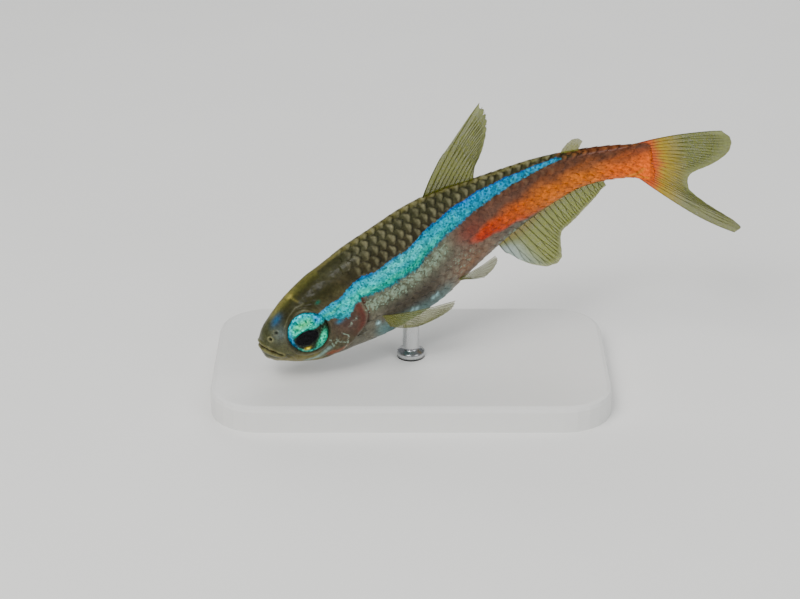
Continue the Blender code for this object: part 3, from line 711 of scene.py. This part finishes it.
def build_eye(side, name, material):
    """Iris and lens in one closed body: the iris is a shallow dish round the black lens."""
    a, d, left = frame(EYE_STATION)[1:]
    out = unit(left * side - a * 0.12 + d * 0.1)
    along = unit(a - out * a.dot(out))
    up = unit(d - out * d.dot(out) - along * d.dot(along))
    centre = place(EYE_STATION, EYE_HEIGHT * SL, side * EYE_DEPTH)
    turn = 2 * math.pi * np.arange(EYE_SPOKES) / EYE_SPOKES

    def disc(r, depth):
        x, y = r * np.cos(turn) * DISC, r * np.sin(turn) * DISC
        return centre + along * x[..., None] + up * y[..., None] + out * depth[..., None]

    r, turns = np.meshgrid(np.linspace(0.0, 1.0, EYE_RINGS)[1:], turn, indexing="ij")
    x, y = r * np.cos(turns), r * np.sin(turns)
    pupil = np.hypot((x * DISC - PUPIL_PLACE[0]) / PUPIL_ALONG, (y * DISC - PUPIL_PLACE[1]) / PUPIL_UP)
    depth = EYE_DOME * np.sqrt(np.clip(1 - r ** 2, 0, 1))
    depth += -0.05 * ease(pupil, 0.9, 1.05) + 0.03 * ridge(pupil - 1.12, 0.08)
    depth += 0.006 * np.sin(turns * 37) * ease(pupil, 1.05, 1.3) * fall(r, 0.85, 1.0)
    back_r = np.linspace(1.0, 0.0, 9)[1:-1, None] + 0 * turn
    points = np.concatenate([disc(r, depth).reshape(-1, 3),
                             disc(back_r, -EYE_DOME * np.sqrt(1 - back_r ** 2)).reshape(-1, 3),
                             [centre + out * EYE_DOME, centre - out * EYE_DOME]])
    faces = capped_faces(EYE_RINGS - 1 + len(back_r), EYE_SPOKES)
    if side < 0:
        faces = [f[::-1] for f in faces]
    angle = np.degrees(np.arctan2(y, x))
    whole = angle % 360
    wide = ease(whole, 2, 24) * fall(whole, 150, 185) * fall(r, 0.945, 0.99)
    behind = ridge(angle + 48, 25) * ridge(r - 0.78, 0.15)
    under = ease(whole, 205, 225) * fall(whole, 300, 325)
    tone = blend(
        (0.03, 0.03, 0.016),
        ((0.0, 0.62, 0.46), wide),
        ((0.0, 0.52, 0.72), wide * ease(r, 0.62, 0.88) * 0.85),
        ((0.1, 0.8, 0.22), gauss(x, y, -0.05, 0.46, 0.48, 0.15) * 0.7 * wide),
        ((0.0, 0.16, 0.56), gauss(x, y, 0.62, 0.4, 0.16, 0.22) * 0.8 * wide),
        ((0.0, 0.26, 0.55), ridge(whole - 178, 24) * ridge(r - 0.84, 0.09) * 0.95),
        ((0.0, 0.6, 0.34), behind * 1.6),
        ((0.01, 0.34, 0.26), under * ridge(r - 0.87, 0.06) * 0.9),
        # a painted glint: a small yellow spot below the pupil
        ((0.8, 0.62, 0.03), gauss(x, y, -0.34, -0.66, 0.13, 0.06) * 0.95),
        ((0.003, 0.003, 0.004), fall(pupil, 0.97, 1.03)),
        ((0.01, 0.02, 0.016), ridge(pupil - 1.06, 0.07) * 0.8),
        ((0.008, 0.008, 0.006), ease(r, 0.97, 1.0))).reshape(-1, 3)
    rest = np.full((len(points) - len(tone), 3), (0.012, 0.012, 0.009))
    rest[-2] = (0.004, 0.004, 0.005)
    mark = np.zeros((len(points), 3))
    mark[:len(tone), 0] = (ease(pupil, 0.98, 1.06) * fall(r, 0.88, 0.98)).reshape(-1)
    return new_mesh(name, points, faces, {"tone": np.concatenate([tone, rest]), "mark": mark}, material)


def fin_surface(rays, bow):
    """Places on a fin's middle sheet from a share across its rays and a share along them."""
    shares = [i / (len(rays) - 1) for i in range(len(rays))]
    root, tip = (tuple((q, *ray[end]) for q, ray in zip(shares, rays)) for end in (0, 1))

    def at(q, t, shift=0.0):
        q, t, shift = np.broadcast_arrays(np.asarray(q, float), t, shift)
        q = np.clip(q, 0.0, 1.0)
        s, height, width = (mix(curve(root, k, q), curve(tip, k, q), t) for k in (1, 2, 3))
        up, aside = bow(q)
        arch = t * (1 - t) * (t > 0)
        return place(s, (height + up * arch) * SL, (width + aside * arch) * SL + shift)

    return at


TUBE_SIDES = 6


def tube_rings(line, radius, normal):
    """Rings of a thin tube along a line, with its radius at each point."""
    ahead = unit(np.gradient(line, axis=0))
    first = unit(normal - ahead * (normal * ahead).sum(1, keepdims=True))
    second = np.cross(ahead, first)
    turn = 2 * math.pi * np.arange(TUBE_SIDES) / TUBE_SIDES
    return (line[:, None] + first[:, None] * (np.cos(turn)[None, :, None] * radius[:, None, None])
            + second[:, None] * (np.sin(turn)[None, :, None] * radius[:, None, None]))


def wavy(q, t, seed):
    return 0.5 * np.sin(q * 23.0 + seed) * np.sin(t * 9.0 + seed * 2.3) + 0.5 * np.sin(q * 51.0 + t * 13.0)


FIN_ROWS = 40
FIN_PER_RAY = 8
NICKS_PER_RAY = 3
FORK = 0.23


def build_fin(name, material, rays, bow, colour, unbranched, ray_size, fringe, seed):
    """A thin clear sheet with fine jointed rays that branch towards the margin."""
    at = fin_surface(rays, bow)
    n = len(rays) - 1
    gap = 1.0 / n
    q = np.linspace(0, 1, n * FIN_PER_RAY + 1)
    q2, t2 = np.meshgrid(q, np.linspace(0, 1, FIN_ROWS), indexing="ij")
    between = np.sin(math.pi * (q2 / gap))
    random = np.random.default_rng(int(seed * 10))
    nicks = n * NICKS_PER_RAY + 1
    nick = np.interp(q, np.linspace(0, 1, nicks), random.uniform(0, 1, nicks))[:, None]
    along = t2 * (1 - fringe * (between ** 2) * (0.5 + nick) - 0.3 * fringe * nick)
    ripple = 0.02 * between * np.cos(q2 / gap * math.pi) * ease(t2, 0.1, 0.6)
    ripple = ripple + 0.03 * wavy(q2, t2, seed) * ease(t2, 0.2, 1.0)
    half = 0.016 - 0.008 * t2
    faces = plate_faces(len(q), FIN_ROWS)
    points = [at(q2, along, ripple + way * half).reshape(-1, 3) for way in (1, -1)]
    start = 2 * q2.size
    tone, clear = colour(q2, along)
    tones, marks = [tone.reshape(-1, 3)] * 2, [clear.reshape(-1)] * 2
    side = at(0.5, 0.5, 1.0) - at(0.5, 0.5, 0.0)
    d = FORK * gap
    # first and last share along the ray, offset across at both
    stem = [(0.0, 1.0, 0.0, 0.0)]
    fork = [(0.0, 0.4, 0.0, 0.0), (0.34, 0.7, 0.0, d), (0.34, 0.7, 0.0, -d)]
    fork += [(0.64, 0.99, way * d, way * d * out) for way in (1, -1) for out in (1.55, 0.5)]
    for i in range(n + 1 if ray_size else 0):
        for first, last, from_q, to_q in stem if i < unbranched or i == n else fork:
            count = 34 if last - first > 0.9 else 18
            t = np.linspace(first, last, count)
            line_q = np.clip(i * gap + from_q + (to_q - from_q) * ease(t, first, last), 0, 1)
            lift = 0.03 * wavy(line_q, t, seed) * ease(t, 0.2, 1.0)
            lift = lift + 0.01 * np.sin(2 * math.pi * line_q / gap) * ease(t, 0.1, 0.6)
            size = ray_size * (1 - 0.52 * t) * (1.3 if i < unbranched else 1.0)
            size = size * (0.92 if first > 0.3 else 1.0)
            joint = 1 - 0.22 * (np.arange(count) % 2) * ease(t, 0.15, 0.3)
            points.append(tube_rings(at(line_q, t, lift), size * joint, side[None]).reshape(-1, 3))
            faces += grid_faces(count, TUBE_SIDES, start, True, True)
            faces.append(tuple(start + j for j in range(TUBE_SIDES)))
            start += count * TUBE_SIDES
            faces.append(tuple(start - 1 - j for j in range(TUBE_SIDES)))
            tone, clear = colour(line_q, t)
            tones.append(np.repeat(np.clip(tone * 0.42, 0, 1), TUBE_SIDES, axis=0))
            marks.append(np.repeat(np.clip(clear * 1.2 + 0.3, 0, 0.95), TUBE_SIDES))
    marks = np.concatenate(marks)
    return new_mesh(name, np.concatenate(points), faces,
                    {"tone": np.concatenate(tones), "mark": np.stack([marks, marks, marks], -1)}, material)


ROOT = 0.2


def back_height(s):
    return float(section(np.array(s))[0] - ROOT) / SL


def belly_height(s):
    return float(section(np.array(s))[1] + ROOT) / SL


def middle_rays(first, step, height, tips):
    """Rays of a fin on the midline: evenly spaced roots under the skin, and the tips' places."""
    return [((first + step * i, height(first + step * i), 0.0), (*tip, 0.0)) for i, tip in enumerate(tips)]


DORSAL = middle_rays(0.485, 0.0122, back_height, (
    (0.575, 0.192), (0.689, 0.262), (0.694, 0.243), (0.693, 0.228), (0.69, 0.213), (0.683, 0.196),
    (0.675, 0.18), (0.665, 0.165), (0.655, 0.151), (0.643, 0.138), (0.63, 0.127)))
ANAL = middle_rays(0.603, 0.014, belly_height, (
    (0.617, -0.125), (0.633, -0.155), (0.656, -0.186), (0.69, -0.214), (0.713, -0.219), (0.73, -0.208),
    (0.737, -0.188), (0.742, -0.168), (0.748, -0.151), (0.758, -0.14), (0.77, -0.134), (0.782, -0.129),
    (0.795, -0.123), (0.807, -0.116), (0.82, -0.108), (0.833, -0.099), (0.846, -0.09), (0.858, -0.081),
    (0.868, -0.072), (0.878, -0.063), (0.889, -0.056)))
ADIPOSE = middle_rays(0.806, 0.0095, back_height, (
    (0.818, 0.068), (0.832, 0.078), (0.844, 0.083), (0.855, 0.081), (0.862, 0.071)))
CAUDAL = [((0.985 - 0.012 * (abs(i - 9) / 9.0), 0.046 - 0.0049 * i, 0.0), (*tip, 0.0))
          for i, tip in enumerate((
    (1.172, 0.107), (1.192, 0.097), (1.196, 0.083), (1.192, 0.067), (1.18, 0.049), (1.164, 0.033),
    (1.147, 0.019), (1.129, 0.007), (1.11, -0.005), (1.093, -0.02), (1.088, -0.034), (1.09, -0.05),
    (1.105, -0.065), (1.128, -0.078), (1.155, -0.088), (1.182, -0.096), (1.21, -0.102), (1.228, -0.114),
    (1.212, -0.131)))]
CAUDAL_SPANS = [math.hypot(tip[0] - root[0], tip[1] - root[1]) for root, tip in CAUDAL]
PECTORAL = ((0.425, -0.098, 0.084), (0.421, -0.107, 0.082), (0.411, -0.112, 0.08), (0.397, -0.114, 0.078),
            (0.381, -0.114, 0.076), (0.363, -0.112, 0.074), (0.346, -0.11, 0.071), (0.331, -0.107, 0.068))
PELVIC = ((0.574, -0.078, 0.052), (0.577, -0.088, 0.051), (0.571, -0.098, 0.049), (0.56, -0.107, 0.047),
          (0.546, -0.114, 0.044), (0.531, -0.118, 0.041))
# number of rays, station of the first root and its step, angle of the first root and its step
PECTORAL_ROOTS = (11, 0.266, 0.0022, 2.04, 0.07)
PELVIC_ROOTS = (8, 0.46, 0.0045, 2.52, 0.085)


def paired_rays(side, tips, count, s0, ds, p0, dp):
    """Rays of a paired fin, rooted just under the skin."""
    rays = []
    for i in range(count):
        f = i * (len(tips) - 1) / (count - 1)
        tip = [np.interp(f, range(len(tips)), [row[k] for row in tips]) for k in range(3)]
        s, phi = s0 + ds * f, p0 + dp * f
        bottom, level, half = (float(q) for q in section(np.array(s))[1:])
        height = level + (level - bottom - 0.16) * math.cos(phi)
        width = (half - 0.16) * math.sin(phi)
        rays.append(((s, height / SL, side * width / SL), (tip[0], tip[1], side * tip[2])))
    return rays


def plain_fin(q, t):
    tone = blend((0.155, 0.17, 0.003),
                 ((0.095, 0.1, 0.004), fall(t, 0.0, 0.3)), ((0.25, 0.28, 0.06), ease(t, 0.8, 1.0)))
    return tone, 0.76 - 0.1 * ease(t, 0.2, 0.9)


def caudal_colour(q, t):
    far = t * np.interp(q, np.linspace(0, 1, len(CAUDAL)), CAUDAL_SPANS)
    reach = 0.058 + 0.006 * np.sin(q * 31.0) + 0.006 * np.cos(q * 113.0)
    tone = blend((0.145, 0.165, 0.004),
                 ((0.24, 0.27, 0.06), ease(t, 0.78, 1.0)), ((0.2, 0.21, 0.06), ease(q, 0.62, 0.9) * 0.7),
                 ((0.46, 0.3, 0.002), fall(far, 0.045, 0.12) * 0.9),
                 ((0.62, 0.085, 0.0), fall(far, 0.028, reach)))
    return tone, 0.73 + 0.26 * fall(far, 0.032, 0.095)


def anal_colour(q, t):
    root, lead = fall(t, 0.0, 0.25), fall(q, 0.04, 0.2)
    tone = blend((0.22, 0.25, 0.003),
                 ((0.36, 0.22, 0.045), root * 0.8), ((0.48, 0.6, 0.58), lead * ease(t, 0.1, 0.35) * 0.85),
                 ((0.46, 0.48, 0.22), ease(t, 0.84, 1.0) * 0.7))
    return tone, 0.72 + 0.14 * root + 0.1 * lead


def pale_fin(q, t):
    return np.full(np.shape(t) + (3,), (0.26, 0.27, 0.045)), 0.32 + 0.2 * fall(t, 0.0, 0.3)


def adipose_colour(q, t):
    return np.full(np.shape(t) + (3,), (0.22, 0.22, 0.03)), 0.72 - 0.15 * ease(t, 0.2, 1.0)


class Look:
    """A Principled material, with short ways to add nodes to it."""

    def __init__(self, name, roughness, coat):
        self.material = bpy.data.materials.new(name)
        self.material.use_nodes = True
        self.tree = self.material.node_tree
        self.bsdf = self.tree.nodes["Principled BSDF"]
        self.set(Roughness=roughness, Coat_Weight=coat, Coat_Roughness=0.1, IOR=1.4)
        self.where = self.new("TexCoord").outputs["Object"]

    def feed(self, node, values):
        """Sets each input of a node to a value or colour, or links it to an output."""
        for key, value in values.items():
            socket = node.inputs[key]
            if isinstance(value, bpy.types.NodeSocket):
                self.tree.links.new(value, socket)
            elif isinstance(value, tuple) and socket.type == "RGBA":
                socket.default_value = (*value, 1.0)
            else:
                socket.default_value = value

    def set(self, **values):
        """Sets or links inputs of the surface itself."""
        self.feed(self.bsdf, {key.replace("_", " "): value for key, value in values.items()})

    def new(self, kind, values=None, **settings):
        node = self.tree.nodes.new("ShaderNode" + kind)
        for key, value in settings.items():
            setattr(node, key, value)
        self.feed(node, values or {})
        return node

    def stored(self, name):
        return self.new("Attribute", attribute_name=name).outputs["Vector"]

    def split(self, vector):
        return self.new("SeparateXYZ", {0: vector}).outputs

    def maths(self, operation, a, b, clamp=False):
        return self.new("Math", {0: a, 1: b}, operation=operation, use_clamp=clamp).outputs[0]

    def times(self, a, b, clamp=False):
        return self.maths("MULTIPLY", a, b, clamp)

    def plus(self, a, b, clamp=False):
        return self.maths("ADD", a, b, clamp)

    def swing(self, value, middle, gain):
        """How far a value lies from a middle, times a gain."""
        return self.times(self.maths("SUBTRACT", value, middle), gain)

    def ranged(self, value, low, high, out_low, out_high):
        return self.new("MapRange", {"Value": value, "From Min": low, "From Max": high, "To Min": out_low,
                                     "To Max": out_high}).outputs["Result"]

    def mixed(self, share, first, second):
        return self.new("Mix", {0: share, 6: first, 7: second}, data_type="RGBA").outputs[2]

    def scaled(self, colour, gain):
        return self.new("VectorMath", {0: colour, "Scale": gain}, operation="SCALE").outputs[0]

    def noise(self, scale, detail, roughness=0.5):
        values = {"Vector": self.where, "Scale": scale, "Detail": detail, "Roughness": roughness}
        return self.new("TexNoise", values).outputs["Fac"]

    def cells(self, scale, output):
        return self.new("TexVoronoi", {"Vector": self.where, "Scale": scale}).outputs[output]

    def bump(self, height, strength, distance):
        values = {"Strength": strength, "Distance": distance, "Height": height}
        self.set(Normal=self.new("Bump", values).outputs[0])


def flesh_material(name):
    """Wet skin or scales, both from the same markings stored on the points."""
    look = Look(name, 0.36, 0.07)
    times, ranged, swing = look.times, look.ranged, look.swing
    blue, orange, sparkle = look.split(look.stored("mark"))
    fine = look.noise(5200.0, 5.0, 0.62)
    broad = look.noise(1500.0, 4.0, 0.55)
    cell = look.split(look.cells(9500.0, "Color"))
    # mottling everywhere, stronger grains in the band
    wide = ranged(broad, 0.3, 0.7, 0.76, 1.24)
    grains = look.maths("SUBTRACT", ranged(cell[0], 0.0, 1.0, 0.78, 1.22), 1.0)
    gain = times(times(ranged(fine, 0.3, 0.7, 0.66, 1.34), wide), look.plus(times(grains, orange), 1.0))
    # pigment dots on the plain parts of the back and head
    dot = ranged(look.cells(6800.0, "Distance"), 0.1, 0.26, 1.0, 0.0)
    spots = times(times(dot, look.maths("SUBTRACT", 1.0, orange, True)), 0.5)
    under = look.mixed(spots, look.scaled(look.stored("tone"), gain), (0.016, 0.013, 0.006))
    # silvery grains under the stripe
    silver = ranged(look.plus(times(sparkle, 0.8), swing(cell[2], 0.5, 0.9)), 0.54, 0.78, 0.0, 0.8)
    silver = times(silver, ranged(sparkle, 0.05, 0.3, 0.0, 1.0), True)
    under = look.mixed(silver, under, (0.25, 0.35, 0.25))
    # the stripe lies over it in grains, so that its edges break up
    loose = look.plus(swing(cell[1], 0.5, 0.38), swing(fine, 0.5, 0.85))
    cover = ranged(look.plus(blue, loose), 0.3, 0.68, 0.0, 1.0)
    cover = times(cover, ranged(blue, 0.02, 0.2, 0.0, 1.0), True)
    bright = look.scaled(look.stored("stripe"), times(ranged(cell[0], 0.0, 1.0, 0.45, 1.65), wide))
    over = look.mixed(ranged(cell[2], 0.9, 0.97, 0.0, 0.5), bright, (0.04, 0.72, 0.62))
    look.set(Base_Color=look.mixed(cover, under, over), Specular_IOR_Level=0.27,
             Metallic=look.plus(times(cover, 0.52), times(orange, 0.24), True),
             Roughness=ranged(fine, 0.25, 0.75, 0.28, 0.46), Subsurface_Weight=0.1,
             Subsurface_Radius=(0.0006, 0.0003, 0.00015), Subsurface_Scale=1.0)
    look.bump(fine, 0.34, 0.00002)
    return look.material


def eye_material(name):
    """Iris in fine bright grains, and a black lens."""
    look = Look(name, 0.24, 0.08)
    grains = look.ranged(look.split(look.cells(9500.0, "Color"))[0], 0.0, 1.0, 0.35, 1.75)
    gain = look.times(look.ranged(look.noise(7000.0, 5.0, 0.65), 0.3, 0.7, 0.55, 1.45), grains)
    look.set(Base_Color=look.scaled(look.stored("tone"), gain), Specular_IOR_Level=0.06,
             Metallic=look.times(look.split(look.stored("mark"))[0], 0.38))
    return look.material


def fin_material(name):
    """Clear membrane: the stored colour and clearness, with fine streaks."""
    look = Look(name, 0.28, 0.3)
    fine = look.noise(4200.0, 4.0, 0.6)
    colour = look.scaled(look.stored("tone"), look.ranged(fine, 0.3, 0.7, 0.88, 1.12))
    speck = look.ranged(look.cells(6000.0, "Distance"), 0.08, 0.2, 0.22, 0.0)
    cover = look.times(look.split(look.stored("mark"))[0], look.ranged(fine, 0.3, 0.7, 0.9, 1.08), True)
    look.set(Base_Color=look.mixed(speck, colour, (0.05, 0.04, 0.02)),
             Alpha=look.plus(cover, look.times(speck, 0.12), True))
    return look.material


def stand_material(name, colour, roughness, metallic, streak):
    """The stand: satin plate, or a drawn steel rod."""
    look = Look(name, roughness, 0.15)
    lines = look.noise(1600.0, 6.0, 0.6)
    share = look.times(look.plus(lines, look.noise(160.0, 4.0)), 0.5, True)
    low = tuple(c * (1 - streak) for c in colour)
    high = tuple(min(1.0, c * (1 + streak)) for c in colour)
    look.set(Base_Color=look.mixed(share, low, high), Metallic=metallic,
             Roughness=look.ranged(lines, 0.3, 0.7, roughness * 0.8, roughness * 1.2))
    look.bump(lines, 0.12, 0.00003)
    return look.material


ROD_SIDES = 48


def build_rod(material):
    """A polished rod with a turned collar at the plate and a small cup under the belly."""
    touch = float(place(ROD_STATION, section(np.array(ROD_STATION))[1], 0.0)[2]) + 0.1
    # heights and radii; the first and the last lie on the axis
    profile = [(1.3, 0.0), (1.3, 0.52), (1.62, 0.52), (1.66, 0.84), (1.92, 0.86), (2.02, 0.8),
               (2.1, 0.6), (2.2, 0.52)]
    profile += [(2.3 + (touch - 0.9 - 2.3) * i / 23, 0.5) for i in range(24)]
    profile += [(touch - 0.75, 0.52), (touch - 0.62, 0.58), (touch - 0.5, 0.56), (touch - 0.3, 0.5),
                (touch - 0.05, 0.46), (touch, 0.4), (touch, 0.0)]
    turn = 2 * math.pi * np.arange(ROD_SIDES) / ROD_SIDES
    rows = [np.stack([r * np.cos(turn), r * np.sin(turn), 0 * turn + z], -1) for z, r in profile[1:-1]]
    points = np.concatenate(rows + [[[0, 0, profile[0][0]], [0, 0, profile[-1][0]]]])
    return new_mesh("rod", points, capped_faces(len(rows), ROD_SIDES), {}, material)


def linked(name, data):
    obj = bpy.data.objects.new(name, data)
    bpy.context.scene.collection.objects.link(obj)
    return obj


AIM = (0, 0, 8)
WHITE = (1.0, 1.0, 1.0)
# name, place in mm, power, width and height in metres, colour, whether it is seen in reflections
LIGHTS = (
    ("key", (-90, -130, 190), 0.46, (0.17, 0.13), (1.0, 0.98, 0.95), False),
    ("spark", (-60, -150, 170), 0.09, (0.05, 0.04), WHITE, True),
    ("glint", (120, -110, 120), 0.03, (0.05, 0.04), WHITE, True),
    ("fill", (150, -120, 90), 0.1, (0.2, 0.16), (0.95, 0.98, 1.0), False),
    ("back", (40, 160, 150), 0.2, (0.2, 0.1), WHITE, False),
    ("top", (0, -10, 220), 0.12, (0.24, 0.2), WHITE, False),
)
CAMERA_RISE = 25.0
CAMERA_DISTANCE = 132.07
CAMERA_TARGET = (-0.669, -2.461, 6.536)
FLOOR_SIDE = 33


def area_light(name, place_mm, power, size, colour, reflected):
    data = bpy.data.lights.new(name, "AREA")
    data.energy = power
    data.shape = "RECTANGLE"
    data.size, data.size_y = size
    data.color = colour
    obj = linked(name, data)
    obj.visible_glossy = reflected
    obj.location = Vector(place_mm) * MM
    obj.rotation_euler = (Vector(AIM) * MM - obj.location).to_track_quat("-Z", "Y").to_euler()
    return obj


def build_stage():
    """A pale floor, soft lights and the camera at the photo's angle."""
    n = FLOOR_SIDE
    points = [(MM * (-900 + 1800 * i / (n - 1)), MM * (-500 + 2400 * j / (n - 1)), 0.0)
              for i in range(n) for j in range(n)]
    look = Look("floor", 0.75, 0.0)
    look.set(Base_Color=look.mixed(look.noise(60.0, 5.0), (0.86, 0.86, 0.84), (0.92, 0.92, 0.9)))
    mesh = bpy.data.meshes.new("floor")
    mesh.from_pydata(points, [], [f[::-1] for f in grid_faces(n, n)])
    mesh.materials.append(look.material)
    linked("floor", mesh)
    [area_light(*row) for row in LIGHTS]
    world = bpy.data.worlds.new("studio")
    world.use_nodes = True
    background = world.node_tree.nodes["Background"]
    background.inputs[0].default_value = (0.86, 0.9, 0.94, 1.0)
    background.inputs[1].default_value = 0.2
    bpy.context.scene.world = world
    data = bpy.data.cameras.new("camera")
    data.lens = 100
    data.sensor_width = 36
    data.clip_start = 0.01
    data.clip_end = 20
    camera = linked("camera", data)
    rise = math.radians(CAMERA_RISE)
    toward = np.array((0.0, -math.cos(rise), math.sin(rise)))
    camera.location = Vector((CAMERA_TARGET + toward * CAMERA_DISTANCE) * MM)
    camera.rotation_euler = (math.radians(90.0 - CAMERA_RISE), 0.0, 0.0)
    bpy.context.scene.camera = camera


def steady(up, aside=0.0):
    """A fin whose middle bows up and aside by the same share of the length all over."""
    return lambda q: (up + 0 * q, aside + 0 * q)


def anal_bow(q):
    return -0.05 * (1 - q), 0 * q


def caudal_bow(q):
    return 0.004 * np.clip(1 - 2 * q, 0, 1) - 0.1 * np.clip(2 * q - 1, 0, 1) ** 2, 0 * q


def add_fin(name, node, slot, *rest):
    fin = build_fin(name, *rest)
    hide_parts(node)


def main():
    skin = build_skin(flesh_material("wet_skin"))
    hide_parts("head", "trunk", "tail_stem", "gill_cover_left", "gill_cover_right")
    plates = flesh_material("scales")
    iris = eye_material("iris")
    film = fin_material("fin_film")
    red_film = fin_material("anal_fin_film")
    # piece, node, slot, material, rays, bow, colour, unbranched rays, ray radius, fringe, seed
    for word, side in (("left", 1), ("right", -1)):
        coat = build_scales(side, "scales_" + word, plates)
        eye = build_eye(side, "eyeball_" + word, iris)
        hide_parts("eye_" + word)
        rays = paired_rays(side, PECTORAL, *PECTORAL_ROOTS)
        add_fin("pectoral_" + word, "pectoral_fin_" + word, "fin", film, rays, steady(-0.01, 0.02 * side),
                pale_fin, 1, 0.024, 0.02, 2.0 + side)
        rays = paired_rays(side, PELVIC, *PELVIC_ROOTS)
        add_fin("pelvic_" + word, "pelvic_fin_" + word, "fin", film, rays, steady(-0.01, 0.01 * side),
                pale_fin, 1, 0.026, 0.02, 4.0 + side)
    add_fin("dorsal", "dorsal_fin", "fin", film, DORSAL, steady(0.02), plain_fin, 2, 0.04, 0.028, 6.0)
    add_fin("adipose", "adipose_fin", "fin", film, ADIPOSE, steady(0.005), adipose_colour,
            9, 0.0, 0.006, 7.0)
    add_fin("anal", "anal_fin", "anal_fin", red_film, ANAL, anal_bow, anal_colour, 2, 0.046, 0.012, 8.0)
    add_fin("caudal", "caudal_fin", "fin", film, CAUDAL, caudal_bow, caudal_colour, 1, 0.034, 0.002, 9.0)
    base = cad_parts["stand_base"]
    base.data.materials.clear()
    base.data.materials.append(stand_material("stand_plate", (0.8, 0.8, 0.78), 0.42, 0.0, 0.05))
    rod = build_rod(stand_material("stand_steel", (0.62, 0.63, 0.64), 0.26, 1.0, 0.12))
    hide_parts("stand_rod")
    build_stage()


main()
